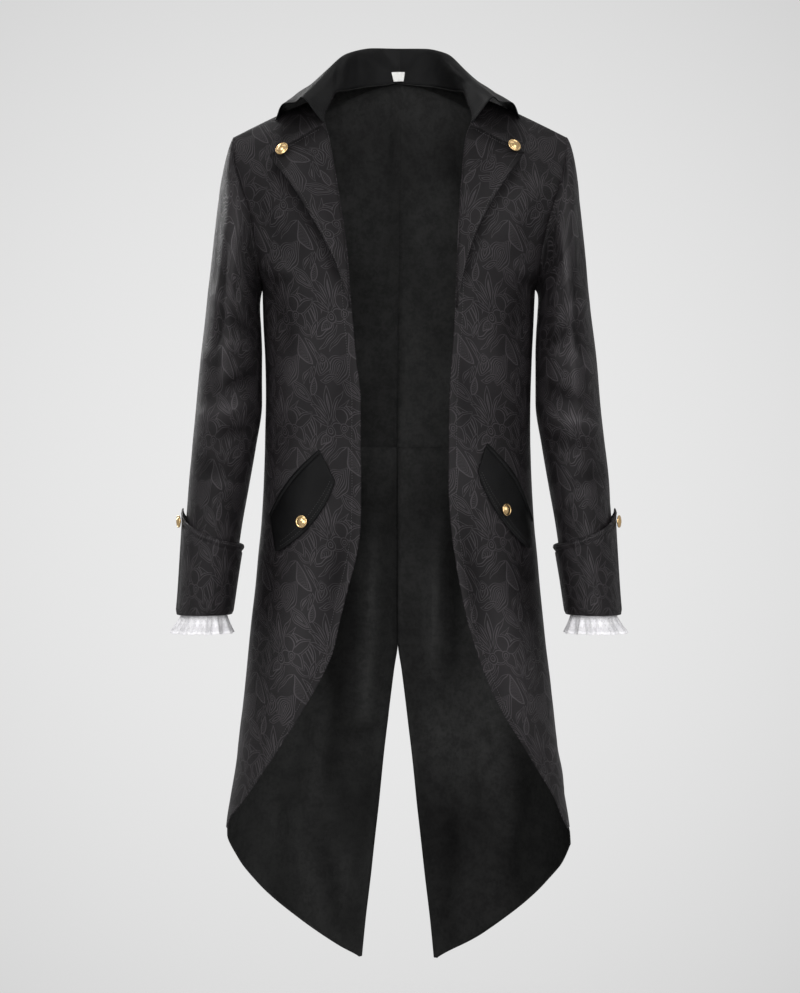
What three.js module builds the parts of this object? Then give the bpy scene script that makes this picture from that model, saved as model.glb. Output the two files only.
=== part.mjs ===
// A long evening frock coat: jacquard fronts cut away to two pointed tails, turned-back
// lapels, a high turned-down collar, set-in sleeves with gauntlet cuffs and lace, and
// slanted satin pocket flaps. It hangs open and hollow, as on a standing wearer.
// Millimetres. +Z is up, -Y is the coat's front, +X is the wearer's left. The origin is
// midway between the two neck points, at the level where the shoulders carry the coat.

import * as THREE from 'three';

// ---- driving dimensions ----
const CLOTH = 2;                  // wall of every cloth panel
const LACE_WALL = 1.2;
const SEAM = 0.4;                 // gap between two pieces at a seam
const LIFT = 0.6;                 // gap between a panel and a piece that lies on it
const LAPEL_BUTTON = 18;          // button diameters
const POCKET_BUTTON = 16.5;
const CUFF_BUTTON = 16.5;
const BUTTON_RISE = 0.36;         // height of a button as a share of its diameter
const BUTTON_GAP = 2.2;           // a button's back above the cloth under its middle
const WELT_WIDTH = 5;
const LABEL = { spread: 0.095, low: 0.02, high: 0.11, wall: 1 };  // shares of the stand

// ---- sections of the body, one row for each section, from the shoulder seam down ----
// A section runs from a panel's inner edge to its outer edge along a quarter of a
// superellipse. half: its half width. yMid: its depth on the centre line. ySide: its
// depth at the outer edge. round: 1 is straight, 2 an ellipse. zIn and zOut: height at
// the inner and the outer edge. The first row only steers the slope at the seam.
const FRONT = table(
  ['zIn', 'zOut', 'half', 'ySide', 'yMid', 'round', 'edgeRight', 'edgeLeft', 'shift'],
  [
    [20, -58, 219.5, 17, 41, 1.50, 68, 68, 0],
    [12, -49, 220.0, 3, 5, 1.30, 84, 84, 0],
    [-7, -66, 219.0, -12, -31, 1.35, 92, 89, 0],
    [-30, -95, 215.0, -27, -60, 1.40, 99, 94, 0],
    [-62, -122, 207.0, -43, -86, 1.55, 92, 85, 0],
    [-105, -153, 197.0, -54, -104, 1.70, 84, 80.5, 0],
    [-148, -186, 189.5, -57, -114, 1.85, 77, 77, -1],
    [-188, -215, 184.5, -48, -119, 1.95, 71, 75, -1],
    [-224, -237, 181.5, -26, -120, 2.10, 67, 73.5, -1],
    [-255, -250, 180.0, 0, -120, 2.20, 65, 72.3, -1.5],
    [-300, -300, 178.0, 0, -117, 2.25, 61, 70.5, -2],
    [-345, -345, 175.8, 0, -112, 2.30, 57, 67.3, -2],
    [-400, -400, 174.5, 0, -108, 2.30, 51, 64, -2.5],
    [-450, -450, 175.0, 0, -109, 2.30, 51, 63.5, -3],
    [-511, -511, 177.0, 0, -112, 2.30, 50.5, 63, -3],
    [-560, -560, 180.0, 0, -115, 2.30, 51, 66, -3],
    [-600, -600, 184.0, 0, -117, 2.30, 56.5, 71, -3],
    [-640, -640, 187.5, 0, -118, 2.25, 67, 78, -3],
    [-680, -680, 191.5, 0, -119, 2.25, 77, 86.5, -3],
    [-720, -720, 195.5, 0, -120, 2.20, 86, 98.5, -3],
    [-760, -760, 199.5, 0, -121, 2.20, 104, 113, -3],
    [-800, -800, 203.5, 0, -122, 2.20, 127, 132.5, -3],
    [-840, -840, 208.5, 0, -123, 2.20, 152, 157, -3],
    [-880, -880, 214.0, 0, -124, 2.20, 178, 181, -3],
    [-915, -915, 220.0, 0, -125, 2.20, 202, 201.5, -3],
    [-945, -945, 225.0, 0, -126, 2.20, 224, 214, -3],
    [-958, -958, 226.5, 0, -126, 2.20, 228, 221, -3],
  ],
);
const SHOULDER_ROW = 1;
const GORGE_ROW = 3;
const UNDERARM_ROW = 9;
const ARMHOLE_ROWS = UNDERARM_ROW - SHOULDER_ROW;
const SHOULDER_TILT = 1.15;       // how a section's height falls: 1 is a straight slope

const BACK = table(
  ['zIn', 'zOut', 'half', 'ySide', 'yMid', 'round', 'edge', 'shift', 'tilt'],
  [
    [-7, -66, 219.0, -12, -31, 1.35, 92, 0, 1.15],
    [12, -49, 220.0, 3.4, 5.4, 1.30, 84, 0, 1.15],
    [20, -58, 219.5, 17, 41, 1.50, 68, 0, 1.2],
    [28, -76, 217.5, 31, 64, 1.65, 42, 0, 1.4],
    [34, -102, 213.0, 44, 79, 1.80, 0, 0, 1.7],
    [-22, -134, 205.0, 56, 95, 1.85, 0, 0, 1.7],
    [-80, -169, 195.5, 61, 107, 1.90, 0, 0, 1.7],
    [-140, -204, 187.5, 53, 114, 2.00, 0, -1, 1.7],
    [-198, -233, 182.2, 29, 117, 2.10, 0, -1, 1.7],
    [-250, -250, 180.0, 0.4, 117, 2.20, 0, -1.5, 1.7],
    [-300, -300, 178.0, 0.4, 114, 2.25, 0, -2, 1.7],
    [-345, -345, 175.8, 0.4, 109, 2.30, 0, -2, 1.7],
    [-400, -400, 174.5, 0.4, 104, 2.30, 0, -2.5, 1.7],
    [-456, -456, 175.2, 0.4, 103, 2.30, 0, -3, 1.7],
    [-511, -511, 177.0, 0.4, 104, 2.30, 0, -3, 1.7],
  ],
);
const WAIST_ROW = 13;

// The two back skirts. vent: the centre edge. hem: the outer limit, which follows the
// side seam and then slants in to the pointed tip. ripple: depth of the hanging folds.
const TAIL = table(
  ['z', 'half', 'yMid', 'round', 'vent', 'hem', 'ripple'],
  [
    [-456.4, 175.2, 103, 2.3, 0.2, 175.2, 0],
    [-511, 177.0, 104, 2.3, 0.2, 177.0, 0.5],
    [-560, 180.0, 106, 2.3, 0.2, 180.0, 1.2],
    [-600, 184.0, 108, 2.3, 0.2, 184.0, 2],
    [-640, 187.5, 110, 2.25, 0.2, 187.5, 2.6],
    [-680, 191.5, 112, 2.25, 0.2, 191.5, 3.2],
    [-720, 195.5, 114, 2.2, 0.6, 195.5, 3.8],
    [-760, 199.5, 116, 2.2, 6, 199.5, 4.4],
    [-800, 203.5, 118, 2.2, 11, 203.5, 5],
    [-840, 208.5, 119, 2.2, 15.6, 208.5, 5.4],
    [-880, 214.0, 120, 2.2, 20.3, 214.0, 5.8],
    [-915, 220.0, 121, 2.2, 24, 220.0, 6],
    [-945, 225.0, 122, 2.2, 27, 225.0, 6],
    [-972, 228.0, 122, 2.2, 30, 226.5, 6],
    [-1008, 229.5, 123, 2.2, 34, 213.5, 6],
    [-1040, 230.5, 123, 2.2, 37.5, 191.5, 6],
    [-1069, 231.5, 124, 2.2, 41, 165.5, 6],
    [-1098, 232.5, 124, 2.2, 44.5, 132.5, 6],
    [-1127, 233.0, 125, 2.2, 47.5, 92.5, 6],
    [-1153, 233.5, 125, 2.2, 50, 53, 6],
  ],
);
const RIPPLE_PITCH = 92;
const TAIL_SHIFT = -3;            // the skirts hang a little to the wearer's right

// ---- lapel: x of its outer edge on the fronts' rows, from the gorge to its end ----
const LAPEL = table(
  ['row', 'right', 'left'],
  [
    [GORGE_ROW, 175, 168],
    [4.0, 158.5, 150],
    [5.0, 136, 129],
    [6.0, 115, 109],
    [7.0, 96, 93.5],
    [8.0, 81, 83],
    [9.0, 72, 77],
    [9.6, 65, 72.5],
  ],
);
const LAPEL_TOP_ROW = 3.42;       // where the collar ends on the front edge
const LAPEL_TIP_DROP = 0.2;       // rows that the tip hangs below that
const LAPEL_END_ROW = 9.6;
const LAPEL_FOLD_INSET = 0.2;     // lapel's fold inside the front's edge
const LAPEL_BUTTON_PLACE = { across: 0.845, down: 0.008 };  // shares of the lapel

// ---- collar: from the centre back to its front end ----
// neck: rows of the neckline behind (-) or before (+) the shoulder seam. R: top of the
// roll. F: free edge of the fall. fold: half width of the roll. bulge: how far the fall
// rounds out.
const COLLAR = table(
  ['neck', 'xR', 'yR', 'zR', 'xF', 'yF', 'zF', 'fold', 'bulge'],
  [
    [-3.0, 0, 85, 82, 0, 113, 32, 4, 3],
    [-2.4, 33, 79, 80, 54, 106, 26, 4, 3],
    [-1.7, 60, 62, 71, 99, 84, 8, 5, 5],
    [-0.8, 79, 37, 51, 126, 58, -4, 7, 8],
    [0.1, 95, 7, 30, 146, 27, -8, 9, 9],
    [0.9, 111, -22, 13, 158, 3, -14, 11, 9],
    [2.3, 126, -46, -3, 163, -14, -21, 13, 7],
  ],
);
const ROLL_DROP = 0.55;           // how far a roll's sides lie below its top, in folds
const COLLAR_RISE = 2.8;          // the stand starts this far above the neckline

// ---- sleeve: tilted rings from the armhole to the wrist ----
// xOut, zOut and xIn, zIn: the ring's outer and inner points, seen from the front.
const SLEEVE = table(
  ['xOut', 'zOut', 'xIn', 'zIn', 'halfDepth', 'yMid', 'shift'],
  [
    [221.0, -48, 183.0, -249, 62, 1, 0],
    [229.5, -80, 183.6, -256, 67, 0, 0],
    [237.0, -132, 183.6, -268, 71, -1, -1],
    [243.5, -188, 183.0, -284, 74, -3, -1.5],
    [250.0, -246, 181.4, -306, 74, -5, -1.5],
    [256.5, -310, 180.0, -340, 72, -8, -1.5],
    [264.0, -385, 180.0, -399, 68, -11, -1.5],
    [271.0, -449, 189.5, -457, 64, -15, -1.5],
    [277.5, -505, 200.0, -511, 60, -19, -1.5],
    [282.0, -556, 209.5, -563, 57, -22, -1.5],
    [286.5, -612, 216.5, -618, 55, -24, -1.5],
    [291.0, -668, 223.5, -672, 54, -25, -1.5],
  ],
);
const HEAD_ROWS = 2;              // rings over which the armhole's own shape fades out

// ---- gauntlet cuff, by the same kind of ring, and the lace below it ----
const CUFF_TOP = { outer: -539, inner: -587 };
const CUFF_BOTTOM = -677;
const CUFF_STAND = 4;             // cuff's face beyond the sleeve's face
const CUFF_FLARE = 2.2;           // more than that at its top edge
const CUFF_WALL = CLOTH + 0.3;    // two layers pressed flat
const CUFF_BUTTON_DROP = 17;      // its middle below the cuff's tip
const CUFF_BUTTON_TURN = 0.045;   // share of a turn from the outer side to the front
const LACE = { top: -655, bottom: -702, inset: 3.6, flare: 15, waves: 11, wave: 4 };
const LACE_FREE = 0.45;           // share of the lace's depth where it comes free of the cuff

// ---- pocket flaps: corners on the fronts as x and z ----
// bow: how far the sewn edge curves. belly: how far the free edge curves out.
const FLAPS = {
  right: {
    attachedTop: [101.5, -468], attachedEnd: [167, -550], bow: 5,
    freeTop: [84, -503], freeEnd: [159, -594], belly: 12.5, button: [123.5, -556],
  },
  left: {
    attachedTop: [110, -460], attachedEnd: [171, -557], bow: 7,
    freeTop: [100, -491], freeEnd: [165.5, -591], belly: 8.5, button: [133, -541],
  },
};
const BELLY_POWER = 0.7;          // below 1 the free edge is fuller towards its corners

const JACQUARD = { color: 0x2a282a, roughness: 0.6, metalness: 0 };
const SATIN = { color: 0x17171a, roughness: 0.42, metalness: 0 };
const LACE_CLOTH = { color: 0xecebef, roughness: 0.85, metalness: 0 };
const BRASS = { color: 0xd9ae62, roughness: 0.28, metalness: 1 };
const TAPE = { color: 0xf2f1ee, roughness: 0.8, metalness: 0 };

const SIDES = [
  { name: 'right', sign: -1 },
  { name: 'left', sign: 1 },
];

const coat = new THREE.Group();

// ---- tables and curves ----
function table(names, rows) {
  const columns = { length: rows.length };
  names.forEach((name, k) => {
    columns[name] = rows.map((row) => row[k]);
  });
  return columns;
}

// value of a column at a fractional row, on a smooth curve through the rows
function at(rows, name, place) {
  const column = rows[name];
  const last = column.length - 1;
  const k = Math.min(Math.max(Math.floor(place), 0), last - 1);
  const t = place - k;
  const before = k > 0 ? column[k - 1] : 2 * column[0] - column[1];
  const after = k + 2 <= last ? column[k + 2] : 2 * column[last] - column[last - 1];
  const rise = column[k + 1] - column[k];
  const startSlope = slope(column[k] - before, rise);
  const endSlope = slope(rise, after - column[k + 1]);
  const square = t * t;
  const cube = square * t;
  return column[k] + startSlope * (cube - 2 * square + t)
    + rise * (3 * square - 2 * cube) + endSlope * (cube - square);
}

// slope at a row from the steps on its two sides, without overshoot
function slope(stepBefore, stepAfter) {
  const product = stepBefore * stepAfter;
  return product > 0 ? (2 * product) / (stepBefore + stepAfter) : 0;
}

function mix(a, b, t) {
  return a + (b - a) * t;
}

// ---- closed wall of even thickness behind an outer face(u, v), u and v from 0 to 1 ----
function wall(across, along, thickness, face, ring = false) {
  const step = 1e-3;
  const stride = ring ? across : across + 1;
  const outer = [];
  const inner = [];
  for (let j = 0; j <= along; j += 1) {
    for (let i = 0; i < stride; i += 1) {
      const u = i / across;
      const v = j / along;
      const uLow = ring ? u - step : Math.max(u - step, 0);
      const uHigh = ring ? u + step : Math.min(u + step, 1);
      const alongU = face(uHigh, v).sub(face(uLow, v));
      const alongV = face(u, v + step).sub(face(u, v - step));
      const out = alongV.cross(alongU).normalize();
      const point = face(u, v);
      outer.push(point);
      inner.push(point.clone().addScaledVector(out, -thickness));
    }
  }
  return shell(outer, inner, stride, along + 1, ring);
}

// joins two grids of points into one closed body whose faces point out
function shell(outer, inner, stride, rows, ring) {
  const points = [...outer, ...inner];
  const shift = outer.length;
  const triangles = [];
  const quad = (a, b, c, d) => triangles.push(a, b, c, a, c, d);
  const cells = ring ? stride : stride - 1;
  for (let j = 0; j < rows - 1; j += 1) {
    for (let i = 0; i < cells; i += 1) {
      const next = (i + 1) % stride;
      const a = j * stride + i;
      const b = j * stride + next;
      const c = (j + 1) * stride + next;
      const d = (j + 1) * stride + i;
      quad(a, b, c, d);
      quad(shift + a, shift + d, shift + c, shift + b);
    }
  }
  for (let i = 0; i < cells; i += 1) {
    const next = (i + 1) % stride;
    const low = (rows - 1) * stride;
    quad(i, shift + i, shift + next, next);
    quad(low + next, shift + low + next, shift + low + i, low + i);
  }
  if (!ring) {
    for (let j = 0; j < rows - 1; j += 1) {
      const a = j * stride;
      const d = a + stride;
      const b = a + stride - 1;
      const c = d + stride - 1;
      quad(a, d, shift + d, shift + a);
      quad(b, shift + b, shift + c, c);
    }
  }
  return facingOut(points, triangles);
}

function facingOut(points, triangles) {
  let volume = 0;
  for (let k = 0; k < triangles.length; k += 3) {
    const [a, b, c] = [0, 1, 2].map((n) => points[triangles[k + n]]);
    volume += a.dot(new THREE.Vector3().crossVectors(b, c));
  }
  const index = volume > 0 ? triangles : triangles.slice().reverse();
  const geometry = new THREE.BufferGeometry().setFromPoints(points);
  geometry.setIndex(index);
  geometry.computeVertexNormals();
  return geometry;
}

function add(name, geometry, finish) {
  const mesh = new THREE.Mesh(geometry, new THREE.MeshStandardMaterial(finish));
  mesh.name = name;
  coat.add(mesh);
  return mesh;
}

// ---- the body's surface ----
// point of a section at distance x from the section's own centre
function sectionPoint(rows, sign, place, x, edge) {
  const half = at(rows, 'half', place);
  const round = at(rows, 'round', place);
  const ySide = at(rows, 'ySide', place);
  const fall = Math.max(1 - Math.min(x / half, 1) ** round, 0) ** (1 / round);
  const y = mix(ySide, at(rows, 'yMid', place), fall);
  const share = Math.max(x - edge, 0) / Math.max(half - edge, 1);
  const tilt = rows.tilt ? at(rows, 'tilt', place) : SHOULDER_TILT;
  const z = mix(at(rows, 'zIn', place), at(rows, 'zOut', place), share ** tilt);
  return new THREE.Vector3(sign * x + at(rows, 'shift', place), y, z);
}

// distance from the section's centre at a share u of its arc, from the edge to the side
function arcX(half, round, edge, limit, u) {
  const angleOf = (x) => Math.asin(Math.min(x / half, 1) ** (round / 2));
  const angle = mix(angleOf(edge), angleOf(limit), u);
  return half * Math.sin(angle) ** (2 / round);
}

function frontEdge(side, place) {
  const edge = at(FRONT, side.name === 'right' ? 'edgeRight' : 'edgeLeft', place);
  return edge - side.sign * at(FRONT, 'shift', place);
}

function frontPoint(side, place, x) {
  return sectionPoint(FRONT, side.sign, place, x, frontEdge(side, place));
}

function frontFace(side, u, place) {
  const half = at(FRONT, 'half', place);
  const edge = Math.min(frontEdge(side, place), half - 1);
  return frontPoint(side, place, arcX(half, at(FRONT, 'round', place), edge, half, u));
}

function backFace(side, u, place) {
  const edge = Math.max(at(BACK, 'edge', place), SEAM / 2);
  const half = at(BACK, 'half', place);
  const x = arcX(half, at(BACK, 'round', place), edge, half, u);
  return sectionPoint(BACK, side.sign, place, x, edge);
}

function tailFace(side, u, place) {
  const half = at(TAIL, 'half', place);
  const round = at(TAIL, 'round', place);
  const vent = Math.max(at(TAIL, 'vent', place), SEAM / 2);
  const hem = Math.min(at(TAIL, 'hem', place), half);
  const x = arcX(half, round, vent, Math.max(hem, vent + 2), u);
  const fall = Math.max(1 - (x / half) ** round, 0) ** (1 / round);
  const swell = (1 - Math.cos((2 * Math.PI * x) / RIPPLE_PITCH)) / 2;
  const ripple = at(TAIL, 'ripple', place) * swell * fall;
  const y = mix(SEAM, at(TAIL, 'yMid', place), fall) + ripple;
  return new THREE.Vector3(side.sign * x + TAIL_SHIFT, y, at(TAIL, 'z', place));
}

// fractional row of the fronts at a height where the sections are level
function rowAt(z) {
  let low = UNDERARM_ROW;
  let high = FRONT.length - 1;
  for (let n = 0; n < 30; n += 1) {
    const middle = (low + high) / 2;
    if (at(FRONT, 'zIn', middle) > z) low = middle;
    else high = middle;
  }
  return low;
}

// point on a front, a height above its face
function onFront(side, place, x, height) {
  const step = 0.5;
  const alongX = frontPoint(side, place, x + step).sub(frontPoint(side, place, x - step));
  const alongRow = frontPoint(side, place + 0.01, x).sub(frontPoint(side, place - 0.01, x));
  const out = alongX.cross(alongRow).normalize();
  if (out.y > 0) out.negate();
  const point = frontPoint(side, place, x).addScaledVector(out, height);
  return { point, out };
}

// ---- cloth panels ----
function addFronts() {
  const last = FRONT.length - 1;
  for (const side of SIDES) {
    const face = (u, v) => frontFace(side, orient(side, u), mix(SHOULDER_ROW, last, v));
    add(`front_${side.name}`, wall(9, last - SHOULDER_ROW, CLOTH, face), JACQUARD);
  }
}

// u runs the other way on the wearer's right, so that the outer face points out
function orient(side, u) {
  return side.sign > 0 ? u : 1 - u;
}

function addBacks() {
  for (const side of SIDES) {
    const face = (u, v) => backFace(side, 1 - orient(side, u), mix(SHOULDER_ROW, WAIST_ROW, v));
    add(`back_${side.name}`, wall(9, WAIST_ROW - SHOULDER_ROW, CLOTH, face), JACQUARD);
  }
}

function addTails() {
  for (const side of SIDES) {
    const face = (u, v) => tailFace(side, 1 - orient(side, u), v * (TAIL.length - 1));
    add(`tail_${side.name}`, wall(10, 19, CLOTH, face), JACQUARD);
  }
}

function lapelPoint(side, u, v, height) {
  const place = mix(LAPEL_TOP_ROW + LAPEL_TIP_DROP * u, LAPEL_END_ROW, v);
  const edge = frontEdge(side, place) + LAPEL_FOLD_INSET;
  const limit = lapelEdge(side, place) - side.sign * at(FRONT, 'shift', place);
  return onFront(side, place, mix(edge, Math.max(limit, edge + 1), u), height);
}

function lapelEdge(side, place) {
  const rows = LAPEL.row;
  let k = 0;
  while (k < rows.length - 2 && rows[k + 1] < place) k += 1;
  return at(LAPEL, side.name, k + (place - rows[k]) / (rows[k + 1] - rows[k]));
}

function addLapels() {
  for (const side of SIDES) {
    const height = LIFT + CLOTH;
    const face = (u, v) => lapelPoint(side, orient(side, u), v, height).point;
    add(`lapel_${side.name}`, wall(6, 12, CLOTH, face), JACQUARD);
    const { across, down } = LAPEL_BUTTON_PLACE;
    const seat = lapelPoint(side, across, down, height);
    addButton(`lapel_button_${side.name}`, LAPEL_BUTTON, seat.point, seat.out);
  }
}

// ---- collar: a stand and a fall over a rounded roll, one wall ----
function collarPoint(s, w) {
  const sign = s < 0 ? -1 : 1;
  const place = Math.abs(s) * (COLLAR.length - 1);
  const column = (name) => at(COLLAR, name, place);
  const neck = neckPoint(sign, place);
  const roll = new THREE.Vector3(sign * column('xR'), column('yR'), column('zR'));
  const free = new THREE.Vector3(sign * column('xF'), column('yF'), column('zF'));
  const out = free.clone().sub(neck).setZ(0).normalize();
  const fold = column('fold');
  const shoulder = (way) => roll.clone().addScaledVector(out, way * fold)
    .add(new THREE.Vector3(0, 0, -ROLL_DROP * fold));
  const middle = shoulder(1).lerp(free, 0.5).addScaledVector(out, column('bulge'));
  const path = new THREE.CatmullRomCurve3(
    [neck, neck.clone().lerp(shoulder(-1), 0.5), shoulder(-1), roll, shoulder(1), middle, free],
    false,
    'centripetal',
  );
  return path.getPoint(w);
}

function neckPoint(sign, place) {
  const side = SIDES.find((one) => one.sign === sign);
  const neck = at(COLLAR, 'neck', place);
  const seam = SHOULDER_ROW + Math.abs(neck);
  const point = neck < 0 ? backFace(side, 0, seam) : frontFace(side, 0, seam);
  if (place === 0) point.x = 0;
  point.z += COLLAR_RISE;
  return point;
}

function addCollar() {
  const face = (u, v) => collarPoint(mix(1, -1, u), mix(0, 1, v));
  const reach = (u, v) => face(Math.min(Math.max(u, 0), 1), Math.min(Math.max(v, 0), 1));
  add('collar', wall(24, 9, CLOTH, reach), SATIN);
}

// ---- sleeves, cuffs and lace ----
// turn: 0 is the outer side, a quarter is the front, a half is the body side
function ringPoint(side, rows, place, turn, grow) {
  const angle = 2 * Math.PI * turn;
  const xMid = (at(rows, 'xOut', place) + at(rows, 'xIn', place)) / 2;
  const zMid = (at(rows, 'zOut', place) + at(rows, 'zIn', place)) / 2;
  const xHalf = (at(rows, 'xOut', place) - at(rows, 'xIn', place)) / 2 + grow;
  const zHalf = (at(rows, 'zOut', place) - at(rows, 'zIn', place)) / 2;
  const depth = at(rows, 'halfDepth', place) + grow;
  return new THREE.Vector3(
    side.sign * (xMid + xHalf * Math.cos(angle)) + at(rows, 'shift', place),
    at(rows, 'yMid', place) - depth * Math.sin(angle),
    zMid + zHalf * Math.cos(angle),
  );
}

function armholePoint(side, turn) {
  const wrapped = turn - Math.floor(turn);
  const front = wrapped <= 0.5;
  const share = front ? 2 * wrapped : 2 * (1 - wrapped);
  const point = front
    ? frontFace(side, 1, mix(SHOULDER_ROW, UNDERARM_ROW, share))
    : backFace(side, 1, mix(SHOULDER_ROW, UNDERARM_ROW, share));
  point.x += side.sign * (CLOTH + SEAM);
  return point;
}

function sleeveFace(side, turn, place) {
  const ring = ringPoint(side, SLEEVE, place, turn, 0);
  if (place >= HEAD_ROWS) return ring;
  const share = Math.max(place, 0) / HEAD_ROWS;
  const fade = share * share * (3 - 2 * share);
  return armholePoint(side, turn).lerp(ring, fade);
}

function addSleeves() {
  for (const side of SIDES) {
    const last = SLEEVE.length - 1;
    const face = (u, v) => sleeveFace(side, orient(side, 1 - u), last * Math.min(Math.max(v, 0), 1));
    add(`sleeve_${side.name}`, wall(2 * ARMHOLE_ROWS, 14, CLOTH, face, true), JACQUARD);
  }
}

// point of a cuff-like ring at height z, where the sleeve's rows are nearly level
function sleeveAtHeight(side, turn, z, grow) {
  let low = HEAD_ROWS;
  let high = SLEEVE.length + 1;
  for (let n = 0; n < 30; n += 1) {
    const middle = (low + high) / 2;
    if (ringPoint(side, SLEEVE, middle, turn, grow).z > z) low = middle;
    else high = middle;
  }
  return ringPoint(side, SLEEVE, low, turn, grow).setZ(z);
}

function cuffTop(turn) {
  const wrapped = turn - Math.floor(turn);
  const around = wrapped <= 0.5 ? 2 * wrapped : 2 * (1 - wrapped);
  return mix(CUFF_TOP.outer, CUFF_TOP.inner, 1 - (1 - around) ** 2);
}

function addCuffs() {
  for (const side of SIDES) {
    const face = (u, v) => {
      const turn = orient(side, 1 - u);
      const z = mix(cuffTop(turn), CUFF_BOTTOM, v);
      const grow = CUFF_STAND + CUFF_FLARE * (1 - v) ** 2;
      return sleeveAtHeight(side, turn, z, grow);
    };
    add(`cuff_${side.name}`, wall(24, 4, CUFF_WALL, face, true), JACQUARD);
    const height = CUFF_TOP.outer - CUFF_BUTTON_DROP;
    const seat = sleeveAtHeight(side, CUFF_BUTTON_TURN, height, CUFF_STAND + CUFF_FLARE);
    const angle = 2 * Math.PI * CUFF_BUTTON_TURN;
    const out = new THREE.Vector3(side.sign * Math.cos(angle), -Math.sin(angle), 0);
    addButton(`cuff_button_${side.name}`, CUFF_BUTTON, seat, out);
  }
}

function addLace() {
  for (const side of SIDES) {
    const face = (u, v) => {
      const turn = orient(side, 1 - u);
      const z = mix(LACE.top, LACE.bottom, v);
      const open = Math.max(v - LACE_FREE, 0) / (1 - LACE_FREE);
      const wave = LACE.wave * open * Math.cos(2 * Math.PI * LACE.waves * turn);
      const grow = -CLOTH - LACE.inset + LACE.flare * open * open + wave;
      return sleeveAtHeight(side, turn, z, grow);
    };
    add(`lace_${side.name}`, wall(44, 3, LACE_WALL, face, true), LACE_CLOTH);
  }
}

// ---- pockets ----
// share t along a flap from its upper end, and share w from its sewn to its free edge
function flapPlace(flap, t, w) {
  const bow = flap.bow * Math.sin(Math.PI * t);
  const sewnX = mix(flap.attachedTop[0], flap.attachedEnd[0], t) + bow;
  const sewnZ = mix(flap.attachedTop[1], flap.attachedEnd[1], t) + bow / 2;
  const runX = flap.freeEnd[0] - flap.freeTop[0];
  const runZ = flap.freeEnd[1] - flap.freeTop[1];
  const belly = flap.belly * Math.max(Math.sin(Math.PI * t), 0) ** BELLY_POWER;
  const out = w > 0 ? belly / Math.hypot(runX, runZ) : 0;
  const freeX = flap.freeTop[0] + runX * t + out * runZ;
  const freeZ = flap.freeTop[1] + runZ * t - out * runX;
  return [mix(sewnX, freeX, w), mix(sewnZ, freeZ, w)];
}

function onFrontAt(side, x, z, height) {
  const place = rowAt(z);
  return onFront(side, place, x - side.sign * at(FRONT, 'shift', place), height);
}

function addPockets() {
  for (const side of SIDES) {
    const flap = FLAPS[side.name];
    const flapFace = (u, v) => {
      const [x, z] = flapPlace(flap, v, 1 - orient(side, u));
      return onFrontAt(side, x, z, LIFT + CLOTH).point;
    };
    add(`pocket_flap_${side.name}`, wall(4, 8, CLOTH, flapFace), SATIN);
    const span = Math.hypot(
      flap.freeTop[0] - flap.attachedTop[0],
      flap.freeTop[1] - flap.attachedTop[1],
    );
    const weltFace = (u, v) => {
      const w = (-SEAM - WELT_WIDTH * orient(side, u)) / span;
      const [x, z] = flapPlace(flap, v, w);
      return onFrontAt(side, x, z, LIFT + CLOTH).point;
    };
    add(`pocket_welt_${side.name}`, wall(1, 8, CLOTH, weltFace), SATIN);
    const seat = onFrontAt(side, flap.button[0], flap.button[1], LIFT + CLOTH);
    addButton(`pocket_button_${side.name}`, POCKET_BUTTON, seat.point, seat.out);
  }
}

// ---- domed metal button with a rolled rim, on a short shank ----
function addButton(name, diameter, seat, out) {
  const radius = diameter / 2;
  const rise = BUTTON_RISE * diameter;
  const profile = [
    [0, 0], [0.30, 0], [0.30, 0.32], [0.86, 0.34], [1, 0.48], [0.98, 0.64],
    [0.86, 0.72], [0.74, 0.66], [0.52, 0.86], [0.26, 0.97], [0, 1],
  ].map(([r, h]) => new THREE.Vector2(r * radius, h * rise));
  const geometry = new THREE.LatheGeometry(profile, 16);
  const mesh = add(name, geometry, BRASS);
  mesh.quaternion.setFromUnitVectors(new THREE.Vector3(0, 1, 0), out);
  mesh.position.copy(seat).addScaledVector(out, BUTTON_GAP);
}

function addLabel() {
  const face = (u, v) => {
    const s = mix(LABEL.spread, -LABEL.spread, u);
    const w = mix(LABEL.low, LABEL.high, v);
    return collarPoint(s, w).add(new THREE.Vector3(0, -LIFT - LABEL.wall, 0));
  };
  add('neck_label', wall(4, 2, LABEL.wall, face), TAPE);
}

addFronts();
addBacks();
addTails();
addLapels();
addCollar();
addSleeves();
addCuffs();
addLace();
addPockets();
addLabel();

export default coat;
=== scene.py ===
import math

import bpy
import numpy as np
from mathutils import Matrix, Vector


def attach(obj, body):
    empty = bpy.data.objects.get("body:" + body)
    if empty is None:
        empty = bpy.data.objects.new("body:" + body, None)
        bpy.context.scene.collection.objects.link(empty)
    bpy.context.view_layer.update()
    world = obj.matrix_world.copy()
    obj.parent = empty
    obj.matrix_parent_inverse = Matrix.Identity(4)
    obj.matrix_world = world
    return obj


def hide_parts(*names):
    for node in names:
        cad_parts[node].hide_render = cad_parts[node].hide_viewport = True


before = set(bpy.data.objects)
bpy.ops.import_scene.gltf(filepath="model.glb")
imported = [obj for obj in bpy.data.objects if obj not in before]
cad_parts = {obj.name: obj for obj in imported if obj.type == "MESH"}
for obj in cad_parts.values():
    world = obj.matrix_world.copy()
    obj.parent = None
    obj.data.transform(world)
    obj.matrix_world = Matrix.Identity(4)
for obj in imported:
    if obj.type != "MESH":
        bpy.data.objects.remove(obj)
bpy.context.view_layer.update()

# The tables and sizes below are in millimetres; MM turns them into the scene's metres.
MM = 0.001

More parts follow.
